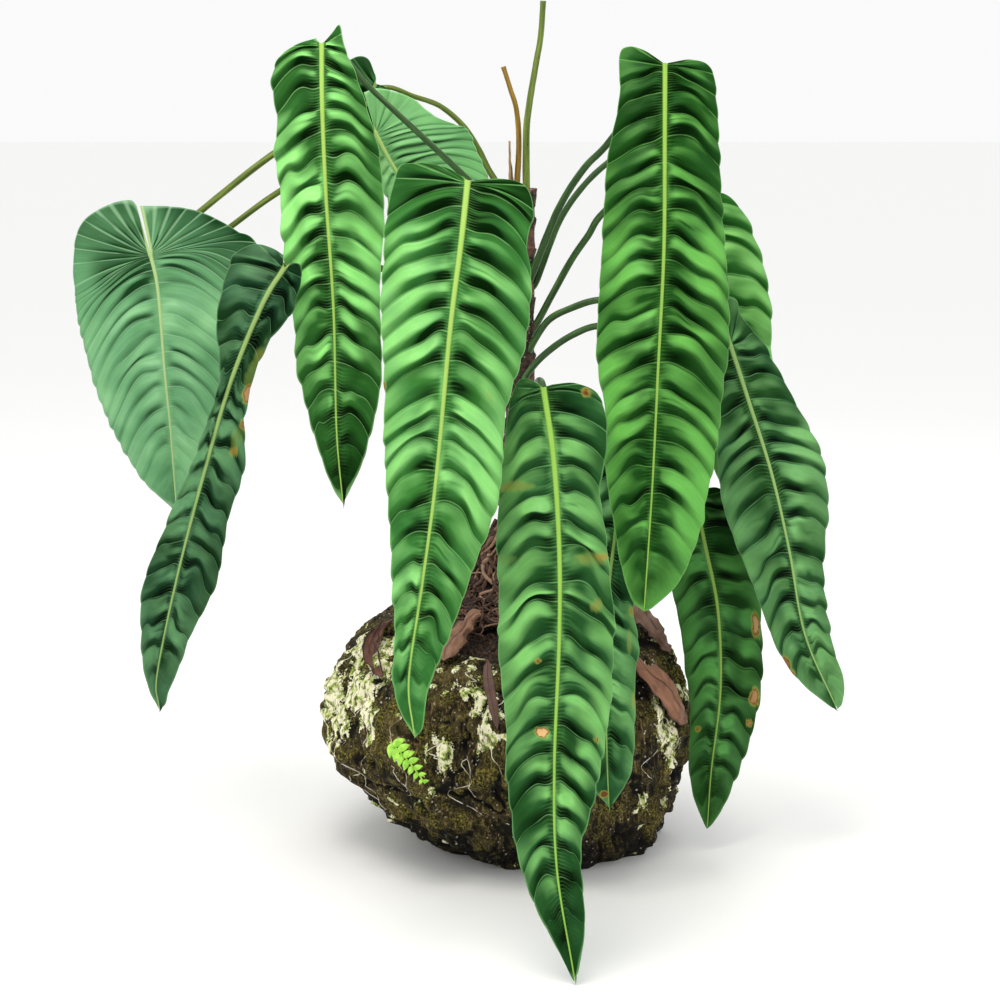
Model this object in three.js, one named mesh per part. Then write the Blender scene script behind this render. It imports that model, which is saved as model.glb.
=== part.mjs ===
// Potted Philodendron patriciae: long pendent pleated leaves on an upright stem in a squat mossy planter.
// Millimetres, +Z up. The origin is on the planter's axis, on the flat foot that it stands on. The plant faces -Y.
import * as THREE from 'three';

// Planter
const wallLevels = [
  // height, radius, how far the wall's centre lies to +X
  [0, 136, 50], [16, 156, 40], [46, 182, 25], [85, 206, 10], [130, 226, 0], [172, 226, 0], [206, 221, 0],
  [234, 209, 0], [258, 192, 0], [276, 172, 0], [288, 154, 0],
];
const rimTop = 288;
const rimDipHeight = 234;
const rimDip = 22;
const ribWave = { count: 9, size: 5.5, phase: 0.6, lean: 1 / 90 };
const fluteWave = { count: 19, size: 3.5, phase: 0, lean: -1 / 40 };
const ledgeWave = { spacing: 34, size: 2.5, wander: 3 };
const innerLevels = [[286, 136], [262, 146], [228, 176], [170, 192], [96, 158], [36, 88]];
const planterSides = 36;
const fitGap = 0.5;

// Potting mix and the root mound on it
const soilTop = 288;
const soilEdge = 261;
const soilEdgeRadius = 144.5;
const soilEdgeDip = 13.64;
const soilFlatRadius = 98;
const moundLevels = [[0, 92], [16, 80], [38, 61], [64, 46], [90, 35], [112, 25], [124, 19]];
const rootStrands = { count: 9, size: 0.17, twist: 0.035, plainRadius: 19, blend: 12 };
const moundSides = 27;

// Stem
const stemRadius = 17;
const trunkRadius = 15;
const stemSides = 10;
const stemAxis = [[0, 0, 196], [0, 0, 300], [6, 0, 461], [16, 0, 595], [17, 0, 748], [17, 0, 822]];
const scarStart = 415;
const scarSpacing = 34;
const scarRise = 1.6;
const trunkWave = { count: 3, size: 0.8, phase: 0, lean: 1 / 23 };
const holeGap = 1;

// Leaves. The midrib runs from the notch to the tip. facing is where the upper face looks, at the notch and at
// the tip. left and right are the outline's halves, seen from in front: how far below the notch, and how far
// from the midrib. fall is how far each margin drops behind the midrib.
const bladeThickness = 1.2;
const ribBack = 2.6;
const leaves = [
  {
    name: 'A', pleats: 13, relief: 3, rib: 6, fall: [16, 16], color: 0x5f9f6d,
    facing: [[-0.15, -1, 0.25], [-0.1, -1, 0]],
    midrib: [[-433, -40, 749], [-423, -52, 704], [-415, -70, 610], [-409, -75, 537], [-405, -68, 434]],
    left: [[-59, -5], [-68, -12], [-69, -40], [-57, -77], [-26, -96], [40, -107], [129, -97], [206, -77],
      [274, -45], [314, -8]],
    right: [[-58, 0], [-49, 33], [-35, 67], [-10, 101], [22, 126], [46, 130], [105, 116], [171, 90], [237, 52],
      [309, 10]],
  },
  {
    name: 'B', pleats: 19, relief: 4, rib: 5, fall: [18, 18], color: 0x1f4f30,
    facing: [[0.1, -1, 0.3], [0, -1, 0]],
    midrib: [[-257, -198, 745], [-281, -216, 705], [-318, -231, 616], [-353, -241, 500], [-386, -241, 380],
      [-411, -231, 271], [-410, -228, 234]],
    left: [[-13, -9], [-14, -25], [-9, -46], [9, -58], [32, -56], [87, -41], [153, -14], [243, -15],
      [326, -28], [394, -36], [462, -28], [523, -8]],
    right: [[-10, 3], [-12, 14], [8, 26], [43, 34], [84, 24], [128, 24], [183, 27], [240, 41], [308, 41],
      [382, 45], [452, 30], [509, 20], [540, 9]],
  },
  {
    name: 'C', pleats: 20, relief: 5, rib: 5, fall: [20, 20], color: 0x4fa34a,
    facing: [[-0.1, -1, 0.2], [0, -1, -0.05]],
    midrib: [[-214, -150, 997], [-213, -168, 923], [-209, -180, 821], [-202, -185, 695], [-201, -175, 553],
      [-196, -160, 466]],
    left: [[-7, -8], [-2, -28], [9, -48], [30, -60], [84, -57], [130, -58], [210, -56], [306, -51], [384, -43],
      [454, -28], [517, -11]],
    right: [[-6, 11], [-22, 21], [3, 26], [42, 41], [89, 54], [159, 64], [212, 62], [282, 55], [354, 54],
      [414, 50], [482, 32], [523, 10]],
  },
  {
    name: 'D', pleats: 24, relief: 5.5, rib: 6, fall: [22, 16], color: 0x3f8a3c,
    facing: [[0, -1, 0.25], [0, -1, -0.02]],
    midrib: [[-44, -400, 856], [-51, -430, 791], [-62, -455, 705], [-77, -475, 550], [-93, -480, 432],
      [-107, -478, 334], [-102, -474, 274]],
    left: [[-5, -5], [-15, -28], [-19, -63], [-9, -77], [51, -82], [127, -78], [231, -63], [327, -53],
      [411, -36], [486, -22], [539, -17], [576, -10]],
    right: [[0, 7], [-7, 34], [-3, 62], [26, 73], [60, 71], [101, 79], [175, 79], [246, 67], [324, 68],
      [388, 57], [461, 42], [537, 24], [590, 11]],
  },
  {
    name: 'E', pleats: 11, relief: 3, rib: 5, fall: [14, 14], color: 0x5da35a,
    facing: [[0, -1, 0.35], [0, -1, 0.1]],
    midrib: [[-159, -60, 893], [-133, -58, 846], [-96, -50, 794], [-63, -42, 734], [-37, -38, 664]],
    left: [[-33, -4], [-25, -20], [6, -28], [37, -24], [68, -27], [98, -40], [151, -47], [221, -34], [259, -6]],
    right: [[-47, 12], [-42, 31], [-14, 60], [10, 70], [61, 100], [105, 91], [151, 77], [200, 59], [243, 35],
      [264, 7]],
  },
  {
    name: 'F', pleats: 22, relief: 4.5, rib: 5.5, fall: [24, 20], color: 0x2f7a34,
    facing: [[0, -1, 0.25], [0, -1, -0.05]],
    midrib: [[36, -425, 640], [47, -440, 564], [53, -453, 468], [53, -466, 375], [48, -485, 240],
      [51, -496, 129], [70, -502, 10]],
    left: [[-5, -5], [-13, -20], [-1, -32], [41, -48], [134, -65], [200, -66], [283, -63], [359, -55],
      [443, -48], [521, -38], [582, -20], [634, -4]],
    right: [[-2, 8], [0, 35], [14, 57], [43, 63], [82, 57], [112, 47], [154, 50], [217, 56], [290, 60],
      [371, 56], [459, 38], [500, 28], [573, 24], [626, 8]],
  },
  {
    name: 'G', pleats: 24, relief: 5, rib: 5, fall: [22, 22], color: 0x3f8f3a,
    facing: [[0.1, -1, 0.22], [0, -1, 0]],
    midrib: [[179, -150, 974], [178, -178, 889], [177, -202, 766], [171, -220, 634], [165, -232, 493],
      [157, -240, 354]],
    left: [[-6, -7], [-16, -23], [-21, -42], [-10, -52], [42, -52], [123, -66], [216, -69], [326, -70],
      [401, -59], [482, -53], [557, -37], [616, -17]],
    right: [[-3, 7], [-8, 30], [-4, 52], [18, 62], [85, 63], [178, 71], [256, 79], [337, 82], [431, 74],
      [529, 60], [591, 42], [625, 12]],
  },
  {
    name: 'H', pleats: 14, relief: 5, rib: 4.5, fall: [16, 16], color: 0x3a8038,
    facing: [[0.15, -1, 0.2], [0.1, -1, 0]],
    midrib: [[221, -5, 819], [244, -15, 725], [267, -18, 633], [293, -12, 527], [322, 0, 359]],
    left: [[-7, -6], [-15, -24], [-6, -47], [38, -62], [116, -69], [204, -69], [294, -55], [410, -29],
      [461, -7]],
    right: [[-3, 10], [6, 32], [19, 52], [58, 67], [115, 75], [177, 65], [250, 49], [334, 40], [414, 24],
      [466, 5]],
  },
  {
    name: 'I', pleats: 17, relief: 4.5, rib: 5, fall: [18, 18], color: 0x2f6f3f,
    facing: [[0.25, -1, 0.2], [0.2, -1, 0]],
    midrib: [[264, -95, 646], [286, -113, 579], [314, -125, 493], [337, -127, 400], [360, -117, 292],
      [402, -102, 198]],
    left: [[-50, -3], [-44, -18], [-8, -35], [53, -41], [116, -55], [191, -64], [274, -54], [350, -41],
      [417, -29], [469, -8]],
    right: [[-58, 8], [-48, 26], [-28, 27], [0, 38], [28, 46], [57, 56], [115, 65], [180, 73], [229, 63],
      [279, 43], [344, 36], [440, 25], [472, 10]],
  },
  {
    name: 'J', pleats: 14, relief: 4.5, rib: 4.5, fall: [16, 16], color: 0x2d6e33,
    facing: [[0.15, -1, 0.15], [0.1, -1, 0]],
    midrib: [[227, -75, 454], [240, -84, 396], [256, -92, 317], [261, -92, 216], [252, -86, 111],
      [249, -80, 38]],
    left: [[-6, -7], [-2, -25], [20, -44], [68, -52], [127, -49], [211, -44], [313, -31], [376, -22],
      [416, -6]],
    right: [[-8, 10], [-3, 36], [28, 56], [82, 61], [153, 57], [200, 57], [259, 54], [329, 42], [386, 26],
      [419, 8]],
  },
  {
    name: 'K', pleats: 14, relief: 4, rib: 4.5, fall: [14, 14], color: 0x1f5a2c,
    facing: [[0, -1, 0.25], [0, -1, 0.15]],
    midrib: [[147, -130, 552], [132, -165, 468], [119, -195, 378], [114, -226, 277], [115, -243, 185],
      [118, -243, 119]],
    left: [[-5, -8], [3, -24], [31, -37], [96, -37], [167, -36], [259, -36], [352, -31], [424, -21],
      [452, -4]],
    right: [[-7, 6], [-5, 25], [26, 41], [95, 43], [159, 33], [221, 31], [275, 38], [348, 34], [415, 28],
      [449, 9]],
  },
  {
    name: 'L', pleats: 9, relief: 4, rib: 4, fall: [10, 10], color: 0x2d6e33,
    facing: [[-0.1, -1, 0.1], [0, -1, 0]],
    midrib: [[-387, -4, 734], [-392, 2, 674], [-397, 6, 599], [-400, 7, 523], [-399, 4, 478]],
    left: [[-5, -7], [-4, -26], [19, -45], [79, -51], [140, -46], [203, -31], [251, -6]],
    right: [[-7, 6], [-6, 24], [20, 41], [70, 46], [134, 45], [201, 31], [252, 6]],
  },
  {
    name: 'M', pleats: 9, relief: 4, rib: 4, fall: [10, 10], color: 0x1d5a20,
    facing: [[0, -1, 0.2], [0, -1, 0]],
    midrib: [[-159, -18, 949], [-181, -30, 897], [-198, -36, 823], [-210, -34, 739], [-216, -28, 653]],
    left: [[-10, -4], [-25, -21], [-19, -39], [8, -52], [55, -59], [115, -58], [195, -46], [264, -28],
      [303, -7]],
    right: [[-1, 9], [7, 26], [29, 39], [86, 45], [151, 44], [222, 38], [280, 22], [305, 4]],
  },
];

// Leaf stalks: side is the angle round the stem and height the place on it where the stalk leaves; via is its
// route from there to the notch of its blade.
const petioleSides = 6;
const petioleSteps = 9;
const petioleFootRun = 4;
const petioleEndRun = 7;
const notchInset = 3;
const petioles = [
  {
    name: 'A', side: 165, height: 757, radii: [5.5, 4.2], color: 0x6b7f2c,
    via: [[-59, 12, 842], [-132, 16, 899], [-205, 18, 907], [-285, 12, 865], [-376, -4, 795], [-414, -16, 764]],
  },
  {
    name: 'B', side: 240, height: 640, radii: [5, 3.8], color: 0x6b7f2c,
    via: [[-14, -52, 656], [-60, -88, 690], [-130, -115, 730], [-205, -128, 748], [-262, -140, 742],
      [-281, -166, 738]],
  },
  {
    name: 'C', side: 246, height: 772, radii: [4.8, 3.4], color: 0x2c4a10,
    via: [[-10, -66, 800], [-45, -94, 837], [-99, -116, 889], [-131, -125, 919], [-166, -134, 953],
      [-190, -139, 982]],
  },
  {
    name: 'D', side: 270, height: 733, radii: [5.5, 4.5], color: 0x4d7a3c,
    via: [[-4, -150, 779], [-24, -290, 826], [-38, -362, 850]],
  },
  {
    name: 'E', side: 205, height: 790, radii: [4.8, 3.8], color: 0x6b7f2c,
    via: [[-46, -6, 828], [-100, -22, 875], [-140, -38, 896]],
  },
  {
    name: 'F', side: 275, height: 545, radii: [5.5, 4.5], color: 0x4d7a3c,
    via: [[18, -150, 585], [28, -290, 620], [33, -390, 642]],
  },
  {
    name: 'G', side: 318, height: 718, radii: [5.2, 4], color: 0x4d7a3c,
    via: [[60, -40, 800], [89, -62, 849], [117, -88, 881], [158, -122, 940]],
  },
  {
    name: 'H', side: 8, height: 706, radii: [4.6, 3.6], color: 0x4d7a3c,
    via: [[60, 2, 777], [84, 5, 816], [117, 7, 850], [160, 9, 877], [200, 10, 858]],
  },
  {
    name: 'I', side: 355, height: 652, radii: [4.8, 4], color: 0x4d7a3c,
    via: [[57, -10, 700], [78, -18, 739], [97, -26, 768], [113, -34, 794], [158, -46, 832],
      [217, -54, 820], [256, -64, 738]],
  },
  {
    name: 'J', side: 322, height: 630, radii: [4.8, 4], color: 0x4d7a3c,
    via: [[49, -24, 664], [74, -32, 679], [111, -40, 691], [162, -46, 688], [206, -48, 643],
      [225, -52, 558]],
  },
  {
    name: 'K', side: 290, height: 588, radii: [4.8, 4], color: 0x4d7a3c,
    via: [[42, -38, 622], [74, -55, 648], [108, -72, 663], [136, -90, 654], [150, -108, 615]],
  },
  {
    name: 'L', side: 175, height: 726, radii: [5, 3.8], color: 0x5a6a28,
    via: [[-71, 16, 810], [-145, 22, 856], [-218, 24, 853], [-284, 20, 816], [-340, 16, 776], [-374, 12, 750]],
  },
  {
    name: 'M', side: 150, height: 800, radii: [4.8, 3], color: 0x76851f,
    via: [[-24, 16, 845], [-36, 18, 869], [-55, 14, 898], [-83, 8, 922], [-115, -1, 934], [-140, -8, 944]],
  },
];
// Cut stalks on the stem's top, from their foot to the cut
const cutPetioles = [
  {
    name: 'cut_petiole_tall', radii: [5, 3.6], color: 0x7f7a2a,
    path: [[22, -3, 822.5], [22, -2, 890], [26, 1, 927], [32, 2, 964], [39, 3, 1005], [42, 4, 1047]],
  },
  {
    name: 'cut_petiole_short', radii: [4.2, 3], color: 0x8a6a1a,
    path: [[10, 6, 822.5], [13, 8, 877], [10, 9, 917], [3, 10, 941], [-6, 11, 969]],
  },
];
const sheath = {
  radius: 16, height: 58, bottom: 822.5, thickness: 1.2, startAngle: 165, sweep: 90, taper: 0.75, lean: 23,
  rows: 4,
};

// Dead leaves and the small fern: spine points, half-widths along the spine, where the middle of the face looks,
// and the angle through which the sheet is curled across, in degrees.
const litterThickness = 1.4;
const litter = [
  {
    name: 'dead_leaf_scroll', color: 0x6e4a3c, curl: 250, rows: 7,
    spine: [[-144, -36, 291], [-158, -65, 279], [-164, -94, 262], [-152, -142, 246]],
    halfWidths: [8, 18, 20, 9], facing: [0.51, 0.49, -0.71],
  },
  {
    name: 'dead_leaf_crumpled', color: 0x7a5444, curl: 150, rows: 8,
    spine: [[-32, -91, 321], [-48, -110, 309], [-64, -119, 291], [-80, -164, 273]],
    halfWidths: [6, 16, 18, 5], facing: [-0.26, -0.66, 0.7],
  },
  {
    name: 'dead_leaf_strip', color: 0x5c4038, curl: 90, rows: 7,
    spine: [[-25, -156, 272], [-24, -194, 254], [-18, -221, 231], [-13, -232, 207]],
    halfWidths: [4, 7, 7, 3], facing: [-0.18, -0.78, 0.6],
  },
  {
    name: 'dead_leaf_curled', color: 0x6a4a3e, curl: 190, rows: 7,
    spine: [[154, -13, 309], [170, -33, 300], [188, -52, 283], [201, -57, 255]],
    halfWidths: [9, 20, 22, 8], facing: [0.39, -0.35, 0.85],
  },
  {
    name: 'dead_leaf_smooth', color: 0x9a6a4d, curl: 70, rows: 8,
    spine: [[151, -132, 270], [173, -147, 252], [201, -123, 218], [223, -69, 168]],
    halfWidths: [10, 24, 24, 5], facing: [0.71, -0.57, 0.43],
  },
];
const fern = {
  name: 'fern_frond', color: 0xb4ea50, pinnae: 6, longest: 17, shortest: 5, waist: 2, droop: 0.12,
  thickness: 0.9,
  spine: [[-140, -214, 186], [-127, -227, 177], [-112, -236, 162], [-98, -240, 143]], facing: [-0.35, -1, 0.25],
};

const toVector = (point) => new THREE.Vector3(...point);
const degrees = (angle) => (angle * Math.PI) / 180;
const polar = (radius, angle, height, x = 0, y = 0) =>
  new THREE.Vector3(x + radius * Math.cos(angle), y + radius * Math.sin(angle), height);
const smoothStep = (from, to, value) => THREE.MathUtils.smoothstep(value, from, to);

// A closed mesh from points and triangles, turned so that its faces point out.
function solid(points, triangles) {
  let volume = 0;
  const cross = new THREE.Vector3();
  for (const [a, b, c] of triangles) {
    volume += points[a].dot(cross.crossVectors(points[b], points[c]));
  }
  const turned = volume < 0 ? triangles.map(([a, b, c]) => [a, c, b]) : triangles;
  const geometry = new THREE.BufferGeometry().setFromPoints(points);
  geometry.setIndex(turned.flat());
  geometry.computeVertexNormals();
  return geometry;
}

// Rings of equal count joined one to the next, each end closed by a fan round its centre.
function loft(rings) {
  const count = rings[0].length;
  const points = rings.flat();
  const triangles = [];
  for (let ring = 0; ring + 1 < rings.length; ring++) {
    for (let i = 0; i < count; i++) {
      const next = (i + 1) % count;
      const [a, b] = [ring * count + i, ring * count + next];
      triangles.push([a, b, b + count], [a, b + count, a + count]);
    }
  }
  for (const ring of [0, rings.length - 1]) {
    const centre = new THREE.Vector3();
    rings[ring].forEach((point) => centre.addScaledVector(point, 1 / count));
    points.push(centre);
    const hub = points.length - 1;
    for (let i = 0; i < count; i++) {
      const [a, b] = [ring * count + i, ring * count + ((i + 1) % count)];
      triangles.push(ring === 0 ? [hub, b, a] : [hub, a, b]);
    }
  }
  return solid(points, triangles);
}

// Rings joined into a closed tyre: the last ring meets the first.
function tyre(rings) {
  const count = rings[0].length;
  const triangles = [];
  for (let ring = 0; ring < rings.length; ring++) {
    const above = ((ring + 1) % rings.length) * count;
    for (let i = 0; i < count; i++) {
      const next = (i + 1) % count;
      triangles.push([ring * count + i, ring * count + next, above + next]);
      triangles.push([ring * count + i, above + next, above + i]);
    }
  }
  return solid(rings.flat(), triangles);
}

// A thin sheet: two grids of points with the same rows and columns, split into triangles alike, and a wall round
// them.
function sheet(front, back) {
  const [rows, columns] = [front.length, front[0].length];
  const points = [...front.flat(), ...back.flat()];
  const behind = rows * columns;
  const at = (row, column) => row * columns + column;
  const triangles = [];
  for (let row = 0; row + 1 < rows; row++) {
    for (let column = 0; column + 1 < columns; column++) {
      const [a, b] = [at(row, column), at(row, column + 1)];
      const [c, d] = [at(row + 1, column + 1), at(row + 1, column)];
      const split = column < (columns - 1) / 2 ? [[a, b, c], [a, c, d]] : [[a, b, d], [b, c, d]];
      for (const [p, q, r] of split) {
        triangles.push([p, q, r], [behind + p, behind + r, behind + q]);
      }
    }
  }
  const border = [];
  for (let column = 0; column < columns; column++) border.push(at(0, column));
  for (let row = 1; row < rows; row++) border.push(at(row, columns - 1));
  for (let column = columns - 2; column >= 0; column--) border.push(at(rows - 1, column));
  for (let row = rows - 2; row > 0; row--) border.push(at(row, 0));
  border.forEach((a, i) => {
    const b = border[(i + 1) % border.length];
    triangles.push([b, a, behind + a], [b, behind + a, behind + b]);
  });
  return solid(points, triangles);
}

// A round stalk along a route, its radius running evenly from the first to the second value.
function stalk(route, radii, sides, steps) {
  const curve = new THREE.CatmullRomCurve3(route.map(toVector), false, 'catmullrom', 0.5);
  const frames = curve.computeFrenetFrames(steps, false);
  const rings = [];
  for (let step = 0; step <= steps; step++) {
    const share = step / steps;
    const radius = THREE.MathUtils.lerp(radii[0], radii[1], share);
    const centre = curve.getPointAt(share);
    const ring = [];
    for (let side = 0; side < sides; side++) {
      const angle = (2 * Math.PI * side) / sides;
      const point = centre.clone();
      point.addScaledVector(frames.normals[step], radius * Math.cos(angle));
      point.addScaledVector(frames.binormals[step], radius * Math.sin(angle));
      ring.push(point);
    }
    rings.push(ring);
  }
  return loft(rings);
}

// Waves round an axis, which turn with height
const wave = ({ count, size, phase, lean }, angle, height) =>
  size * Math.sin(count * angle + phase + lean * height);

// 1 at the planter's front and 0 from its sides to its back
const frontness = (angle) => Math.max(0, -Math.sin(angle)) ** 2;

// How far the wall sinks at the front, from rimDipHeight up to the rim
function sink(angle, height) {
  return (rimDip * frontness(angle) * Math.max(0, height - rimDipHeight)) / (rimTop - rimDipHeight);
}

// Outside of the planter's wall at an angle, on one of its levels: the round wall with ribs, flutes and ledges
function wallPoint([height, radius, shift], angle) {
  const ledgeTurn = (2 * Math.PI * height) / ledgeWave.spacing + ledgeWave.wander * Math.sin(2 * angle);
  const ledges = ledgeWave.size * Math.sin(ledgeTurn);
  const relief = wave(ribWave, angle, height) + wave(fluteWave, angle, height) + ledges;
  return polar(radius + relief, angle, height - sink(angle, height), shift);
}

function around(sides, place) {
  return Array.from({ length: sides }, (_, i) => place((2 * Math.PI * i) / sides));
}

function planterGeometry() {
  const outside = wallLevels.map((level) => around(planterSides, (angle) => wallPoint(level, angle)));
  const inside = innerLevels.map(([height, radius]) => around(planterSides, (angle) =>
    polar(radius, angle, height - sink(angle, height))));
  return loft([...outside, ...inside]);
}

// Centre of the stem at a height
function stemCentre(height) {
  const axis = stemAxis;
  let i = 0;
  while (i < axis.length - 2 && axis[i + 1][2] < height) i++;
  const share = (height - axis[i][2]) / (axis[i + 1][2] - axis[i][2]);
  return toVector(axis[i]).lerp(toVector(axis[i + 1]), share);
}

// The fill: it follows the planter's inner wall a little inside it, and ends in the blind hole for the stem.
function soilGeometry() {
  const wall = [...innerLevels].reverse().filter(([height]) => height <= soilEdge);
  const rings = wall.map(([height, radius], i) => around(planterSides, (angle) =>
    polar(radius - fitGap, angle, height + (i === 0 ? fitGap : 0))));
  rings.push(around(planterSides, (angle) =>
    polar(soilEdgeRadius, angle, soilEdge - soilEdgeDip * frontness(angle))));
  rings.push(around(planterSides, (angle) => polar(soilFlatRadius, angle, soilTop)));
  rings.push(around(planterSides, (angle) => polar(stemRadius + holeGap, angle, soilTop)));
  rings.push(around(planterSides, (angle) => polar(stemRadius + holeGap, angle, stemAxis[0][2] - fitGap)));
  return loft(rings);
}

// Twisted roots climbing to the stem: a cone whose strands wind round it, open along the middle for the stem.
function rootMoundGeometry() {
  const foot = soilTop + fitGap;
  const outside = moundLevels.map(([rise, radius]) => around(moundSides, (angle) => {
    const strand = Math.cos(rootStrands.count * (angle + rootStrands.twist * rise));
    const depth = rootStrands.size * Math.min(1, (radius - rootStrands.plainRadius) / rootStrands.blend);
    const centre = stemCentre(foot + rise);
    return polar(radius * (1 + depth * strand), angle, foot + rise, centre.x, centre.y);
  }));
  const top = moundLevels[moundLevels.length - 1][0];
  const hole = [top, top * 0.5, 0].map((rise) => around(moundSides, (angle) => {
    const centre = stemCentre(foot + rise);
    return polar(stemRadius + holeGap, angle, foot + rise, centre.x, centre.y);
  }));
  return tyre([...outside, ...hole]);
}

// The stem: a plain foot in the soil, then a low collar at each leaf scar.
function stemGeometry() {
  const top = stemAxis[stemAxis.length - 1][2];
  const heights = [stemAxis[0][2], 300, scarStart];
  for (let height = scarStart + scarSpacing / 2; height < top; height += scarSpacing / 2) heights.push(height);
  heights.push(top);
  const rings = heights.map((height, i) => around(stemSides, (angle) => {
    const centre = stemCentre(height);
    if (height <= scarStart) return polar(stemRadius, angle, height, centre.x, centre.y);
    const radius = trunkRadius + (i % 2 === 0 ? scarRise : 0) + wave(trunkWave, angle, height);
    return polar(radius, angle, height, centre.x, centre.y);
  }));
  return loft(rings);
}

// The midrib's curve with the directions across the blade and out of its upper face.
class LeafFrame {
  constructor(leaf) {
    this.leaf = leaf;
    this.curve = new THREE.CatmullRomCurve3(leaf.midrib.map(toVector), false, 'catmullrom', 0.5);
    this.length = this.curve.getLength();
    const ends = [...leaf.left, ...leaf.right].map(([, away]) => Math.abs(away));
    this.halfWidth = Math.max(...ends);
  }

  at(below) {
    const share = THREE.MathUtils.clamp(below / this.length, 0, 1);
    const tangent = this.curve.getTangentAt(share);
    const place = this.curve.getPointAt(share).addScaledVector(tangent, below - share * this.length);
    const facing = toVector(this.leaf.facing[0]).lerp(toVector(this.leaf.facing[1]), share);
    const across = facing.cross(tangent).normalize();
    const out = new THREE.Vector3().crossVectors(tangent, across);
    return { place, tangent, across, out };
  }

  // A point of the blade's middle surface, raised out of the face by lift.
  point(below, away, lift) {
    const { place, across, out } = this.at(below);
    const fall = this.leaf.fall[away < 0 ? 0 : 1] * (away / this.halfWidth) ** 2;
    return place.addScaledVector(across, away).addScaledVector(out, lift - fall);
  }
}

// Side veins: where points lie along them from the margin to the midrib, how they bend where they run down and
// where they run up into a lobe, how far they drop by the margin for the blade's width there, how softly the fan
// round the notch passes into the rows below it, and the least distance between their starts, in millimetres.
const veinSteps = [1, 0.5];
const veinBend = { down: 1.7, up: 1.15 };
const veinDrop = 0.45;
const fanBlend = 30;
const leastStartStep = 0.6;
// Pleats: the share of the vein over which they rise from the midrib, what they lose by the margin, and the shares
// of the blade without full pleats at the notch and the tip.
const pleatShape = { rise: 0.4, fade: 0.3, notch: 0.08, tip: 0.12 };
// The midrib: what its width loses by the tip, the most of a vein that it covers, how high it stands for its
// width, and what its back ridge loses by the tip.
const ribShape = { taper: 0.82, most: 0.22, crown: 0.3, backTaper: 0.7 };

// Where on the midrib the veins start whose ends are spaced evenly along the outline: some way above their ends,
// and for the lobes, whose veins fan out from the notch, just below it.
function veinStarts(halves, rows, length) {
  const heights = Array.from({ length: rows + 1 }, (_, row) => {
    const ends = halves.map((half) => half.getPointAt(row / rows));
    const above = ends.reduce((sum, end) => sum + (end.x - veinDrop * Math.abs(end.y)) / 2, 0);
    return (above + Math.hypot(above, fanBlend)) / 2;
  });
  const scale = length / (heights[rows] - heights[0]);
  let last = -leastStartStep;
  return heights.map((height) => {
    last = Math.max(last + leastStartStep, (height - heights[0]) * scale);
    return last;
  });
}

// One pleated blade. Each row of points follows a side vein from the midrib to the margin, and bends towards the
// tip on its way; every second row is a sunken vein and the rows between are the crests.
function bladeGeometry(leaf) {
  const frame = new LeafFrame(leaf);
  const halves = [leaf.left, leaf.right].map((outline) => new THREE.CatmullRomCurve3(
    outline.map(([below, away]) => new THREE.Vector3(below, away, 0)), false, 'catmullrom', 0.5));
  const rows = 2 * leaf.pleats;
  const starts = veinStarts(halves, rows, frame.length);
  const front = [];
  const back = [];
  for (let row = 0; row <= rows; row++) {
    const share = row / rows;
    const start = starts[row];
    const crest = row % 2 === 0 ? -1 : 1;
    const ends = smoothStep(0, pleatShape.notch, share) * smoothStep(0, pleatShape.tip, 1 - share);
    const rib = leaf.rib * (1 - ribShape.taper * share);
    const vein = (half, along) => {
      const end = halves[half].getPointAt(share);
      const bend = end.x > start ? veinBend.down : veinBend.up;
      const below = start + (end.x - start) * along ** bend;
      const rise = smoothStep(0, pleatShape.rise, along) * (1 - pleatShape.fade * along);
      return [below, end.y * along, crest * leaf.relief * ends * rise];
    };
    const ribShare = (half) => {
      const end = halves[half].getPointAt(share);
      return Math.min(ribShape.most, rib / Math.hypot(end.x - start, end.y));
    };
    const columns = [
      ...veinSteps.map((along) => vein(0, along)), vein(0, ribShare(0)), [start, 0, 0], vein(1, ribShare(1)),
      ...[...veinSteps].reverse().map((along) => vein(1, along)),
    ];
    const middle = (columns.length - 1) / 2;
    const half = bladeThickness / 2;
    const ridge = ribBack * (1 - ribShape.backTaper * share);
    front.push(columns.map(([below, away, height], i) =>
      frame.point(below, away, height + half + (i === middle ? rib * ribShape.crown : 0))));
    back.push(columns.map(([below, away, height], i) =>
      frame.point(below, away, height - half - (i === middle ? ridge : 0))));
  }
  return sheet(front, back);
}

// A leaf stalk: it leaves the stem squarely, follows its route and meets the blade's back at the notch.
function petioleGeometry(petiole) {
  const leaf = leaves.find(({ name }) => name === petiole.name);
  const { place, out } = new LeafFrame(leaf).at(notchInset);
  const centre = stemCentre(petiole.height);
  const angle = degrees(petiole.side);
  const foot = stemRadius + scarRise + fitGap;
  const start = [foot, foot + petioleFootRun].map((distance) =>
    polar(distance, angle, petiole.height, centre.x, centre.y));
  const stop = bladeThickness / 2 + ribBack + 2 * fitGap;
  const end = [stop + petioleEndRun, stop].map((distance) => place.clone().addScaledVector(out, -distance));
  const route = [...start, ...petiole.via.map(toVector), ...end].map((point) => point.toArray());
  return stalk(route, petiole.radii, petioleSides, petioleSteps);
}

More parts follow.
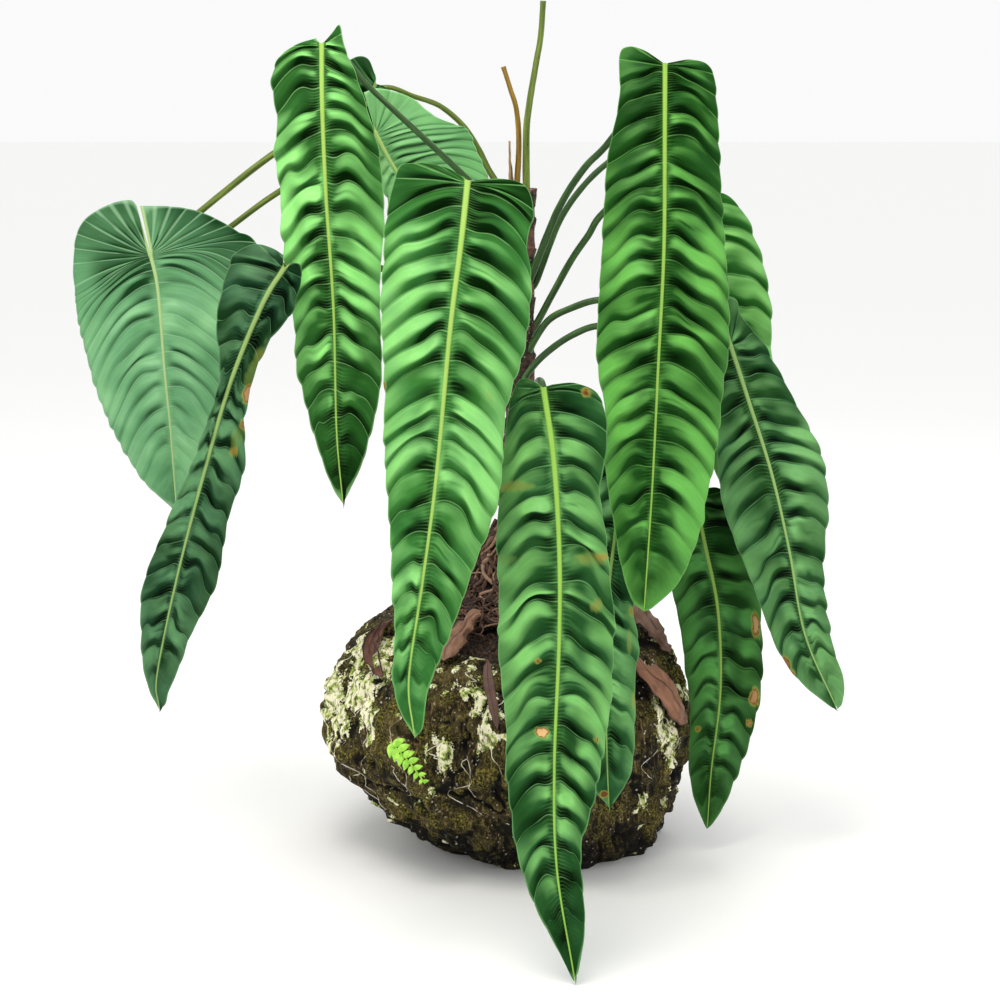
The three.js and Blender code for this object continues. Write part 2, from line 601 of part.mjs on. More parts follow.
// A strip of dead leaf: rows across its spine, each an arc of the given curl.
function litterGeometry({ spine, halfWidths, curl, facing, rows }) {
  const curve = new THREE.CatmullRomCurve3(spine.map(toVector), false, 'catmullrom', 0.5);
  const widths = new THREE.CatmullRomCurve3(halfWidths.map((width, i) => new THREE.Vector3(i, width, 0)));
  const columns = 4;
  const grids = [[], []];
  for (let row = 0; row <= rows; row++) {
    const share = row / rows;
    const tangent = curve.getTangentAt(share);
    const across = toVector(facing).cross(tangent).normalize();
    const out = new THREE.Vector3().crossVectors(tangent, across);
    const radius = widths.getPoint(share).y / degrees(curl / 2);
    grids.forEach((grid, face) => {
      const line = [];
      for (let column = 0; column <= columns; column++) {
        const turn = degrees(curl) * (column / columns - 0.5);
        const reach = radius + (face === 0 ? litterThickness : 0);
        const point = curve.getPointAt(share).addScaledVector(across, reach * Math.sin(turn));
        line.push(point.addScaledVector(out, reach * Math.cos(turn) - radius));
      }
      grid.push(line);
    });
  }
  return sheet(grids[0], grids[1]);
}

// The fern frond: a thin blade cut into pinnae on both sides of its midrib.
function fernGeometry() {
  const curve = new THREE.CatmullRomCurve3(fern.spine.map(toVector), false, 'catmullrom', 0.5);
  const rows = 2 * fern.pinnae;
  const grids = [[], []];
  for (let row = 0; row <= rows; row++) {
    const share = row / rows;
    const tangent = curve.getTangentAt(share);
    const across = toVector(fern.facing).cross(tangent).normalize();
    const out = new THREE.Vector3().crossVectors(tangent, across);
    const full = THREE.MathUtils.lerp(fern.longest, fern.shortest, share);
    const reach = row % 2 === 1 ? full : fern.waist;
    grids.forEach((grid, face) => {
      const lift = (face === 0 ? 1 : -1) * (fern.thickness / 2);
      grid.push([-1, 0, 1].map((side) => curve.getPointAt(share)
        .addScaledVector(across, side * reach)
        .addScaledVector(out, lift - (side === 0 ? 0 : reach * fern.droop))));
    });
  }
  return sheet(grids[0], grids[1]);
}

// The dry scale round the foot of the cut stalks: a narrowing strip of a tube.
function sheathGeometry() {
  const centre = stemCentre(sheath.bottom);
  const grids = [[], []];
  for (let row = 0; row <= sheath.rows; row++) {
    const share = row / sheath.rows;
    const sweep = sheath.sweep * (1 - sheath.taper * share);
    const height = sheath.bottom + sheath.height * share;
    grids.forEach((grid, face) => {
      const radius = sheath.radius - (face === 0 ? 0 : sheath.thickness);
      grid.push([-0.5, -0.25, 0, 0.25, 0.5].map((side) => {
        const angle = degrees(sheath.startAngle + side * sweep + sheath.lean * share);
        return polar(radius, angle, height, centre.x, centre.y);
      }));
    });
  }
  return sheet(grids[0], grids[1]);
}

const plant = new THREE.Group();

function addPiece(name, geometry, color, roughness) {
  const material = new THREE.MeshStandardMaterial({ color, roughness, metalness: 0 });
  const mesh = new THREE.Mesh(geometry, material);
  mesh.name = name;
  plant.add(mesh);
}

addPiece('planter', planterGeometry(), 0x3a3012, 0.95);
addPiece('potting_mix', soilGeometry(), 0x1c130d, 1);
addPiece('root_mound', rootMoundGeometry(), 0x5a4032, 0.95);
addPiece('stem', stemGeometry(), 0x3a2a22, 0.9);
for (const leaf of leaves) addPiece(`blade_${leaf.name}`, bladeGeometry(leaf), leaf.color, 0.45);
for (const petiole of petioles) addPiece(`petiole_${petiole.name}`, petioleGeometry(petiole), petiole.color, 0.5);
for (const { name, path, radii, color } of cutPetioles) addPiece(name, stalk(path, radii, 7, 7), color, 0.6);
addPiece('sheath', sheathGeometry(), 0xa88a5a, 0.9);
for (const piece of litter) addPiece(piece.name, litterGeometry(piece), piece.color, 0.85);
addPiece(fern.name, fernGeometry(), fern.color, 0.5);

export default plant;
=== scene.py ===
import bpy
import numpy as np
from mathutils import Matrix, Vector


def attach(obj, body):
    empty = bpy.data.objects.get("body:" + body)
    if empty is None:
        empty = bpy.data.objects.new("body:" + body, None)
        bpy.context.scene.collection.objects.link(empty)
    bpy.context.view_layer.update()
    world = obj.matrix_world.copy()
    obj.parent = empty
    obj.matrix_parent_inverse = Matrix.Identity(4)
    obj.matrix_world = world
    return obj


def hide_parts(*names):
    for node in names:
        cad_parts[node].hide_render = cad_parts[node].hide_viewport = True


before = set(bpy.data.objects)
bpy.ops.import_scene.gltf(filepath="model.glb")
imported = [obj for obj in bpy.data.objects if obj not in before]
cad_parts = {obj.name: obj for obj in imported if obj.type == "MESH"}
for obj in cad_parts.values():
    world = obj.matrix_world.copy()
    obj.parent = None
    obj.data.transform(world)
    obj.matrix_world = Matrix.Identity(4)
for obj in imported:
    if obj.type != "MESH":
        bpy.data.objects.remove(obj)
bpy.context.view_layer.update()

# A potted Philodendron patriciae. Tables are in millimetres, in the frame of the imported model: +Z up, the
# leaves face -Y. The tables of the solids are repeated here, because each leaf is dressed on its own solid.
mm = 0.001


def linear(hexText):
    # sRGB hex text to the linear colour that a socket holds
    values = [int(hexText[i:i + 2], 16) / 255 for i in (1, 3, 5)]
    return [v / 12.92 if v <= 0.04045 else ((v + 0.055) / 1.055) ** 2.4 for v in values] + [1.0]


def addNode(material, kind, inputs=None, stops=None, **settings):
    # adds a node with its settings; an input that is given a socket is linked, any other is filled
    tree = material.node_tree
    node = tree.nodes.new("ShaderNode" + kind)
    for name, value in settings.items():
        setattr(node, name, value)
    for name, value in (inputs or {}).items():
        if isinstance(value, bpy.types.NodeSocket):
            tree.links.new(value, node.inputs[name])
        else:
            node.inputs[name].default_value = linear(value) if isinstance(value, str) else value
    for i, (place, colour) in enumerate(stops or []):
        elements = node.color_ramp.elements
        element = elements[i] if i < 2 else elements.new(place)
        element.position = place
        element.color = linear(colour)
    return node


def newMaterial(name):
    material = bpy.data.materials.new(name)
    material.use_nodes = True
    material.node_tree.nodes.clear()
    return material


def smoothStep(low, high, value):
    share = np.clip((value - low) / (high - low), 0, 1)
    return share * share * (3 - 2 * share)


def unit(vectors):
    return vectors / np.maximum(np.linalg.norm(vectors, axis=-1, keepdims=True), 1e-9)


def noise(x, y, z=0.0, seed=0):
    # value noise from -1 to 1: hashed heights at whole-number corners, blended by a quintic fade
    x, y, z = np.broadcast_arrays(np.asarray(x, float), y, z)
    base = [np.floor(v).astype(np.int64) for v in (x, y, z)]
    fade = [f * f * f * (f * (f * 6 - 15) + 10) for f in (v - b for v, b in zip((x, y, z), base))]
    total = np.zeros(x.shape)
    for corner in range(8):
        step = [corner & 1, corner >> 1 & 1, corner >> 2]
        code = sum((b + s) * k for b, s, k in zip(base, step, (374761393, 668265263, 2147483647)))
        code = (code + seed * 974711) & 0xFFFFFFFF
        code = ((code ^ code >> 13) * 1274126177) & 0xFFFFFFFF
        height = ((code ^ code >> 16) & 0xFFFF) / 32767.5 - 1
        weight = 1.0
        for s, f in zip(step, fade):
            weight = weight * (f if s else 1 - f)
        total += weight * height
    return total


def spline(points, count=600):
    # a smooth curve through the points, as a dense line with the length up to each of its points
    p = np.asarray(points, float)
    p = np.vstack([2 * p[0] - p[1], p, 2 * p[-1] - p[-2]])
    spans = len(p) - 3
    place = np.linspace(0, spans, count + 1)
    i = np.minimum(place.astype(int), spans - 1)
    w = (place - i)[:, None]
    a, b, c, d = p[i], p[i + 1], p[i + 2], p[i + 3]
    start, stop = (c - a) / 2, (d - b) / 2
    line = (2 * b - 2 * c + start + stop) * w**3 + (3 * c - 3 * b - 2 * start - stop) * w**2 + start * w + b
    lengths = np.concatenate([[0], np.cumsum(np.linalg.norm(np.diff(line, axis=0), axis=1))])
    return line, lengths


def alongLine(line, lengths, distance):
    return np.stack([np.interp(distance, lengths, line[:, k]) for k in range(line.shape[1])], -1)


def gridQuads(rows, columns, first=0, joinRows=False, joinColumns=False):
    # the corners of each cell of a grid of points; the last row or column may be joined to the first
    r, c = np.meshgrid(np.arange(rows - (not joinRows)), np.arange(columns - (not joinColumns)), indexing="ij")
    below, right = (r + 1) % rows, (c + 1) % columns
    return first + np.stack([r * columns + c, below * columns + c, below * columns + right,
                             r * columns + right], -1).reshape(-1, 4)


def makePiece(name, points, faces, materials, stands=(), attributes=None, uv=None, kinds=None):
    # one smooth mesh in metres from points in millimetres; kinds picks each face's material
    mesh = bpy.data.meshes.new(name)
    mesh.from_pydata((points * mm).tolist(), [], faces)
    mesh.polygons.foreach_set("use_smooth", np.ones(len(mesh.polygons), bool))
    for material in materials:
        mesh.materials.append(material)
    if kinds is not None:
        mesh.polygons.foreach_set("material_index", kinds.astype(np.int32))
    for key, values in (attributes or {}).items():
        mesh.attributes.new(key, "FLOAT", "POINT").data.foreach_set("value", values.ravel().astype(np.float32))
    if uv is not None:
        corner = np.empty(len(mesh.loops), np.int32)
        mesh.loops.foreach_get("vertex_index", corner)
        layer = mesh.uv_layers.new(name="pattern")
        layer.data.foreach_set("uv", uv.reshape(-1, 2)[corner].ravel().astype(np.float32))
    mesh.update()
    piece = bpy.data.objects.new(name, mesh)
    bpy.context.scene.collection.objects.link(piece)
    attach(piece, "root")
    if stands:
        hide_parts(*stands)


def shellFaces(rows, columns):
    # a closed sheet: the front grid, the back grid turned round, and a wall of quads along their common border
    front = gridQuads(rows, columns)
    back = gridQuads(rows, columns, rows * columns)[:, ::-1]
    cell = np.arange(rows * columns).reshape(rows, columns)
    border = np.concatenate([cell[:-1, 0], cell[-1, :-1], cell[:0:-1, -1], cell[0, :0:-1]])
    after = np.roll(border, -1)
    wall = np.stack([after, border, border + rows * columns, after + rows * columns], -1)
    return front, back, wall


def makeSheet(name, front, back, uv, materials, node, fields=None):
    # a piece from the two grids of a closed sheet: the back has the last of the materials, the rest the first
    faces = shellFaces(*front.shape[:2])
    kinds = np.repeat([0, len(materials) - 1, 0], [len(part) for part in faces])
    points = np.concatenate([front.reshape(-1, 3), back.reshape(-1, 3)])
    attributes = {key: np.tile(values.ravel(), 2) for key, values in (fields or {}).items()}
    uv = np.concatenate([uv.reshape(-1, 2)] * 2)
    makePiece(name, points, np.concatenate(faces).tolist(), materials, [node], attributes, uv, kinds)


def tubeFaces(steps, sides):
    # the wall of a tube whose two ends are closed by fans round the last two points
    wall = gridQuads(steps, sides, joinColumns=True)[:, ::-1]
    here = np.arange(sides)
    after = (here + 1) % sides
    hub = steps * sides
    last = (steps - 1) * sides
    caps = np.concatenate([np.stack([np.full(sides, hub), after, here], -1),
                           np.stack([np.full(sides, hub + 1), last + here, last + after], -1)])
    return wall.tolist() + caps.tolist()


def makeTube(name, rings, material, node, fields=None, uv=None, insideOut=False):
    # a piece from a stack of rings, closed by fans round the middles of its first ring and its last
    points = np.concatenate([rings.reshape(-1, 3), rings[[0, -1]].mean(1)])
    faces = tubeFaces(*rings.shape[:2])
    if insideOut:
        faces = [face[::-1] for face in faces]
    attributes = {key: np.concatenate([values.ravel(), values[0, :1], values[-1, :1]])
                  for key, values in (fields or {}).items()}
    makePiece(name, points, faces, [material], [node], attributes, uv)


# the camera stands about 3 m in front and looks 11 degrees down, as the photograph does
view = dict(place=(-0.010, -2.9449, 1.0084), tilt=79.0, lens=86.4, sensor=36.0)
cameraData = bpy.data.cameras.new("camera")
cameraData.lens = view["lens"]
cameraData.sensor_width = view["sensor"]
camera = bpy.data.objects.new("camera", cameraData)
camera.location = view["place"]
camera.rotation_euler = (np.radians(view["tilt"]), 0, 0)
bpy.context.scene.collection.objects.link(camera)
bpy.context.scene.camera = camera

lamps = {
    "windowAbove": dict(place=(-0.4, -1.0, 2.7), aim=(0, 0, 0.5), size=1.4, power=34, colour="#fffaf0"),
    "fillFront": dict(place=(1.6, -2.8, 1.2), aim=(0, 0, 0.5), size=2.2, power=3, colour="#f2f6ff"),
    "rimBehind": dict(place=(0.6, 2.0, 2.2), aim=(0, 0, 0.6), size=1.6, power=9, colour="#ffffff"),
}
for lampName, lamp in lamps.items():
    lampData = bpy.data.lights.new(lampName, "AREA")
    lampData.shape = "DISK"
    lampData.size = lamp["size"]
    lampData.energy = lamp["power"]
    lampData.color = linear(lamp["colour"])[:3]
    lampObject = bpy.data.objects.new(lampName, lampData)
    lampObject.location = lamp["place"]
    aim = Vector(lamp["aim"]) - Vector(lamp["place"])
    lampObject.rotation_euler = aim.to_track_quat("-Z", "Y").to_euler()
    bpy.context.scene.collection.objects.link(lampObject)

# an even white sky lights the plant from all round
studio = dict(sky="#ffffff", skyStrength=0.96, paper=("#f9f9f8", "#fcfcfb"), floorHalf=20)
sky = bpy.data.worlds.new("studio")
sky.use_nodes = True
sky.node_tree.nodes["Background"].inputs["Color"].default_value = linear(studio["sky"])
sky.node_tree.nodes["Background"].inputs["Strength"].default_value = studio["skyStrength"]
bpy.context.scene.world = sky
bpy.context.scene.view_settings.view_transform = "Standard"

# matte studio paper: an even pale ground with no gloss
floorPaper = newMaterial("studio paper, matte")
paperPlace = addNode(floorPaper, "TexCoord").outputs["Object"]
fibre = addNode(floorPaper, "TexNoise", {"Vector": paperPlace, "Scale": 400.0, "Detail": 3.0}).outputs[0]
paperTint = addNode(floorPaper, "ValToRGB", {"Fac": fibre}, list(zip((0.3, 0.7), studio["paper"])))
paperShader = addNode(floorPaper, "BsdfPrincipled", {"Base Color": paperTint.outputs[0], "Roughness": 0.9})
addNode(floorPaper, "OutputMaterial", {"Surface": paperShader.outputs[0]})
floorMesh = bpy.data.meshes.new("floor")
half = studio["floorHalf"]
floorMesh.from_pydata([(-half, -half, 0), (half, -half, 0), (half, half, 0), (-half, half, 0)], [], [(0, 1, 2, 3)])
floorMesh.materials.append(floorPaper)
floor = bpy.data.objects.new("floor", floorMesh)
bpy.context.scene.collection.objects.link(floor)
print("stage: camera, lamps and floor made")


# Leaves, as in the solids: left and right are the outline's halves, seen from in front, as how far below the notch
# and how far from the midrib; fall is how far each margin drops behind the midrib.
leaves = {
    "A": dict(
        pleats=13, relief=3, rib=6, fall=(16, 16), facing=[(-0.15, -1, 0.25), (-0.1, -1, 0)],
        midrib=[(-433, -40, 749), (-423, -52, 704), (-415, -70, 610), (-409, -75, 537),
            (-405, -68, 434)],
        left=[(-59, -5), (-68, -12), (-69, -40), (-57, -77), (-26, -96), (40, -107), (129, -97),
            (206, -77), (274, -45), (314, -8)],
        right=[(-58, 0), (-49, 33), (-35, 67), (-10, 101), (22, 126), (46, 130), (105, 116), (171, 90),
            (237, 52), (309, 10)]),
    "B": dict(
        pleats=19, relief=4, rib=5, fall=(18, 18), facing=[(0.1, -1, 0.3), (0, -1, 0)],
        midrib=[(-257, -198, 745), (-281, -216, 705), (-318, -231, 616), (-353, -241, 500),
            (-386, -241, 380), (-411, -231, 271), (-410, -228, 234)],
        left=[(-13, -9), (-14, -25), (-9, -46), (9, -58), (32, -56), (87, -41), (153, -14), (243, -15),
            (326, -28), (394, -36), (462, -28), (523, -8)],
        right=[(-10, 3), (-12, 14), (8, 26), (43, 34), (84, 24), (128, 24), (183, 27), (240, 41),
            (308, 41), (382, 45), (452, 30), (509, 20), (540, 9)]),
    "C": dict(
        pleats=20, relief=5, rib=5, fall=(20, 20), facing=[(-0.1, -1, 0.2), (0, -1, -0.05)],
        midrib=[(-214, -150, 997), (-213, -168, 923), (-209, -180, 821), (-202, -185, 695),
            (-201, -175, 553), (-196, -160, 466)],
        left=[(-7, -8), (-2, -28), (9, -48), (30, -60), (84, -57), (130, -58), (210, -56), (306, -51),
            (384, -43), (454, -28), (517, -11)],
        right=[(-6, 11), (-22, 21), (3, 26), (42, 41), (89, 54), (159, 64), (212, 62), (282, 55),
            (354, 54), (414, 50), (482, 32), (523, 10)]),
    "D": dict(
        pleats=24, relief=5.5, rib=6, fall=(22, 16), facing=[(0, -1, 0.25), (0, -1, -0.02)],
        midrib=[(-44, -400, 856), (-51, -430, 791), (-62, -455, 705), (-77, -475, 550),
            (-93, -480, 432), (-107, -478, 334), (-102, -474, 274)],
        left=[(-5, -5), (-15, -28), (-19, -63), (-9, -77), (51, -82), (127, -78), (231, -63),
            (327, -53), (411, -36), (486, -22), (539, -17), (576, -10)],
        right=[(0, 7), (-7, 34), (-3, 62), (26, 73), (60, 71), (101, 79), (175, 79), (246, 67),
            (324, 68), (388, 57), (461, 42), (537, 24), (590, 11)]),
    "E": dict(
        pleats=11, relief=3, rib=5, fall=(14, 14), facing=[(0, -1, 0.35), (0, -1, 0.1)],
        midrib=[(-159, -60, 893), (-133, -58, 846), (-96, -50, 794), (-63, -42, 734), (-37, -38, 664)],
        left=[(-33, -4), (-25, -20), (6, -28), (37, -24), (68, -27), (98, -40), (151, -47), (221, -34),
            (259, -6)],
        right=[(-47, 12), (-42, 31), (-14, 60), (10, 70), (61, 100), (105, 91), (151, 77), (200, 59),
            (243, 35), (264, 7)]),
    "F": dict(
        pleats=22, relief=4.5, rib=5.5, fall=(24, 20), facing=[(0, -1, 0.25), (0, -1, -0.05)],
        midrib=[(36, -425, 640), (47, -440, 564), (53, -453, 468), (53, -466, 375), (48, -485, 240),
            (51, -496, 129), (70, -502, 10)],
        left=[(-5, -5), (-13, -20), (-1, -32), (41, -48), (134, -65), (200, -66), (283, -63),
            (359, -55), (443, -48), (521, -38), (582, -20), (634, -4)],
        right=[(-2, 8), (0, 35), (14, 57), (43, 63), (82, 57), (112, 47), (154, 50), (217, 56),
            (290, 60), (371, 56), (459, 38), (500, 28), (573, 24), (626, 8)]),
    "G": dict(
        pleats=24, relief=5, rib=5, fall=(22, 22), facing=[(0.1, -1, 0.22), (0, -1, 0)],
        midrib=[(179, -150, 974), (178, -178, 889), (177, -202, 766), (171, -220, 634),
            (165, -232, 493), (157, -240, 354)],
        left=[(-6, -7), (-16, -23), (-21, -42), (-10, -52), (42, -52), (123, -66), (216, -69),
            (326, -70), (401, -59), (482, -53), (557, -37), (616, -17)],
        right=[(-3, 7), (-8, 30), (-4, 52), (18, 62), (85, 63), (178, 71), (256, 79), (337, 82),
            (431, 74), (529, 60), (591, 42), (625, 12)]),
    "H": dict(
        pleats=14, relief=5, rib=4.5, fall=(16, 16), facing=[(0.15, -1, 0.2), (0.1, -1, 0)],
        midrib=[(221, -5, 819), (244, -15, 725), (267, -18, 633), (293, -12, 527), (322, 0, 359)],
        left=[(-7, -6), (-15, -24), (-6, -47), (38, -62), (116, -69), (204, -69), (294, -55),
            (410, -29), (461, -7)],
        right=[(-3, 10), (6, 32), (19, 52), (58, 67), (115, 75), (177, 65), (250, 49), (334, 40),
            (414, 24), (466, 5)]),
    "I": dict(
        pleats=17, relief=4.5, rib=5, fall=(18, 18), facing=[(0.25, -1, 0.2), (0.2, -1, 0)],
        midrib=[(264, -95, 646), (286, -113, 579), (314, -125, 493), (337, -127, 400), (360, -117, 292),
            (402, -102, 198)],
        left=[(-50, -3), (-44, -18), (-8, -35), (53, -41), (116, -55), (191, -64), (274, -54),
            (350, -41), (417, -29), (469, -8)],
        right=[(-58, 8), (-48, 26), (-28, 27), (0, 38), (28, 46), (57, 56), (115, 65), (180, 73),
            (229, 63), (279, 43), (344, 36), (440, 25), (472, 10)]),
    "J": dict(
        pleats=14, relief=4.5, rib=4.5, fall=(16, 16), facing=[(0.15, -1, 0.15), (0.1, -1, 0)],
        midrib=[(227, -75, 454), (240, -84, 396), (256, -92, 317), (261, -92, 216), (252, -86, 111),
            (249, -80, 38)],
        left=[(-6, -7), (-2, -25), (20, -44), (68, -52), (127, -49), (211, -44), (313, -31), (376, -22),
            (416, -6)],
        right=[(-8, 10), (-3, 36), (28, 56), (82, 61), (153, 57), (200, 57), (259, 54), (329, 42),
            (386, 26), (419, 8)]),
    "K": dict(
        pleats=14, relief=4, rib=4.5, fall=(14, 14), facing=[(0, -1, 0.25), (0, -1, 0.15)],
        midrib=[(147, -130, 552), (132, -165, 468), (119, -195, 378), (114, -226, 277),
            (115, -243, 185), (118, -243, 119)],
        left=[(-5, -8), (3, -24), (31, -37), (96, -37), (167, -36), (259, -36), (352, -31), (424, -21),
            (452, -4)],
        right=[(-7, 6), (-5, 25), (26, 41), (95, 43), (159, 33), (221, 31), (275, 38), (348, 34),
            (415, 28), (449, 9)]),
    "L": dict(
        pleats=9, relief=4, rib=4, fall=(10, 10), facing=[(-0.1, -1, 0.1), (0, -1, 0)],
        midrib=[(-387, -4, 734), (-392, 2, 674), (-397, 6, 599), (-400, 7, 523), (-399, 4, 478)],
        left=[(-5, -7), (-4, -26), (19, -45), (79, -51), (140, -46), (203, -31), (251, -6)],
        right=[(-7, 6), (-6, 24), (20, 41), (70, 46), (134, 45), (201, 31), (252, 6)]),
    "M": dict(
        pleats=9, relief=4, rib=4, fall=(10, 10), facing=[(0, -1, 0.2), (0, -1, 0)],
        midrib=[(-159, -18, 949), (-181, -30, 897), (-198, -36, 823), (-210, -34, 739),
            (-216, -28, 653)],
        left=[(-10, -4), (-25, -21), (-19, -39), (8, -52), (55, -59), (115, -58), (195, -46),
            (264, -28), (303, -7)],
        right=[(-1, 9), (7, 26), (29, 39), (86, 45), (151, 44), (222, 38), (280, 22), (305, 4)]),
}
# how the fine sheet of every blade is laid out, folded and toned; lengths in mm
bladeForm = dict(
    # the grid and the fan of its veins
    rowsPerPleat=14, fineRows=9, innerColumns=(0, 0.5, 0.86, 1.0), outerColumns=22, columnPower=1.15, thickness=0.9,
    fanBlend=30.0, startStep=0.6, dropAtNotch=0.55, dropGrowth=0.9, bendDown=2.25, bendUp=1.15, wander=0.3,
    uneven=0.28,
    # the midrib, on the face and on the back
    ribWidth=0.72, ribTaper=0.78, ribMost=0.22, ribCrown=0.5, ribBack=2.6, backTaper=0.7,
    # the pleats: each one's strength is drawn between two shares, and finer ones are lower
    strength=(0.35, 1.3), fineness=0.8, fullness=1.8, sunk=0.85, roundness=0.8, lean=0.26, taper=0.62,
    roomySpacing=18,
    # small folds beside the midrib, then waves that grow towards the margin
    crimp=0.26, crimpsPerPleat=2, wrinkle=0.62, ripple=3.0, rippleLength=34, sway=3.0, swayLength=120, scallop=1.5,
    marginWave=2.2, marginWaveLength=38,
    # how light or dark the face is drawn as painted light and shade: in the middle, by the slope, and what each
    # place adds or takes off
    middleTone=0.5, slopeLight=0.44, steepness=2.0, marginFade=0.55, ribShade=-0.04, marginLight=0.04, liftTone=0.05,
    broadTone=0.2, smallTone=0.12, creaseShade=0.24)
# Painted shade green for the folds, the face's own green, painted highlight green for the crests, and the greens of
# the midrib and of the veins' lines, for each leaf's age and light. Blue is how much of it is bluer, fine is how
# many times its veins outnumber the solid's pleats, drop is how far they droop, and topShade and tipShade are how
# much painted shade darkens the leaf's two ends.
bladeLooks = {
    "A": dict(foldShade="#1a4620", face="#70a876", crest="#98cc98", rib="#a6c284", line="#9cc89c",
             blue=0.35, fine=2, drop=0.8, topShade=0.34, tipShade=0),
    "B": dict(foldShade="#000e02", face="#153c1a", crest="#669a68", rib="#90ae66", line="#6f9f6c",
             blue=0.3, fine=1, drop=0.5, topShade=0.05, tipShade=0),
    "C": dict(foldShade="#052402", face="#34702c", crest="#a4f08c", rib="#a4c860", line="#9cdc88",
             blue=0.1, fine=1, drop=0.5, topShade=0.12, tipShade=0.3),
    "D": dict(foldShade="#062604", face="#3e8036", crest="#98dc82", rib="#a2c862", line="#90d07c",
             blue=0.25, fine=1, drop=0.52, topShade=0.26, tipShade=0.12),
    "E": dict(foldShade="#144214", face="#72b06e", crest="#a4dc9a", rib="#b0cc78", line="#a4d89c",
             blue=0.3, fine=2, drop=0.6, topShade=0.05, tipShade=0),
    "F": dict(foldShade="#031c04", face="#285c28", crest="#8acc74", rib="#94c254", line="#80bc74",
             blue=0.2, fine=1, drop=0.56, topShade=0.15, tipShade=0.18),
    "G": dict(foldShade="#042202", face="#22581a", crest="#74be58", rib="#94bc54", line="#78b860",
             blue=0.1, fine=1, drop=0.45, topShade=0.2, tipShade=-0.06),
    "H": dict(foldShade="#021a02", face="#2c6e22", crest="#a0e482", rib="#9cc45c", line="#88c874",
             blue=0.15, fine=1, drop=0.5, topShade=0.1, tipShade=0),
    "I": dict(foldShade="#021404", face="#285826", crest="#84c076", rib="#94b66c", line="#72a670",
             blue=0.3, fine=1, drop=0.5, topShade=0.15, tipShade=0.0),
    "J": dict(foldShade="#021202", face="#1e4a16", crest="#5ca04e", rib="#88a850", line="#5a8e4c",
             blue=0.15, fine=1, drop=0.5, topShade=0.2, tipShade=0.05),
    "K": dict(foldShade="#041e06", face="#2c6230", crest="#88c678", rib="#88ac5c", line="#74ac6c",
             blue=0.3, fine=1, drop=0.5, topShade=0.1, tipShade=0.1),
    "L": dict(foldShade="#082408", face="#2e6438", crest="#5c9c58", rib="#8aa868", line="#64a060",
             blue=0.3, fine=1, drop=0.5, topShade=0.1, tipShade=0.1),
    "M": dict(foldShade="#041606", face="#1c4a1a", crest="#468440", rib="#7c9c50", line="#4c8444",
             blue=0.2, fine=1, drop=0.5, topShade=0.1, tipShade=0),
}

# damaged spots: below the notch and across from the midrib in mm, half height and half width, and how dry
leafMarks = {
    "B": [(124, 22, 32, 9, 0.24), (107, 23, 10, 7, 0.3), (152, 24, 11, 7, 0.8), (203, 25, 15, 7, 0.24),
          (188, 29, 6, 5, 0.75), (222, 26, 6, 5, 0.5)],
    "D": [(227, 47, 6, 5, 0.25), (228, -64, 5, 3, 0.75)],
    "E": [(38, -10, 12, 5, 0.2)],
    "F": [(369, -15, 5, 7, 1.0), (103, -45, 6, 20, 0.34), (184, 36, 7, 20, 0.3), (182, 46, 4, 8, 0.5),
          (233, 39, 7, 7, 0.34), (293, -22, 3, 3, 0.75), (376, 45, 3, 3, 0.75), (11, 45, 5, 5, 0.7),
          (184, -57, 6, 12, 0.2)],
    "I": [(395, -33, 9, 5, 0.75), (409, -31, 5, 4, 0.6)],
    "J": [(167, 48, 15, 6, 0.85), (254, 45, 11, 6, 0.8), (295, -23, 4, 4, 0.6), (286, 42, 4, 4, 0.8)],
    "K": [(331, 33, 11, 3, 0.36), (258, 27, 15, 3, 0.3), (441, -5, 4, 5, 0.7), (223, 28, 6, 3, 0.5)],
}


def leafAxes(leaf, below):
    # the midrib's place below the notch, with the directions along it, across the blade and out of its face
    line, lengths = spline(leaf["midrib"])
    slope = unit(np.gradient(line, axis=0))
    inside = np.clip(below, 0, lengths[-1])
    tangent = unit(alongLine(slope, lengths, inside))
    place = alongLine(line, lengths, inside) + tangent * (below - inside)[..., None]
    notch, tip = (np.array(v, float) for v in leaf["facing"])
    facing = notch + (tip - notch) * (inside / lengths[-1])[..., None]
    across = unit(np.cross(facing, tangent))
    return place, tangent, across, np.cross(tangent, across)


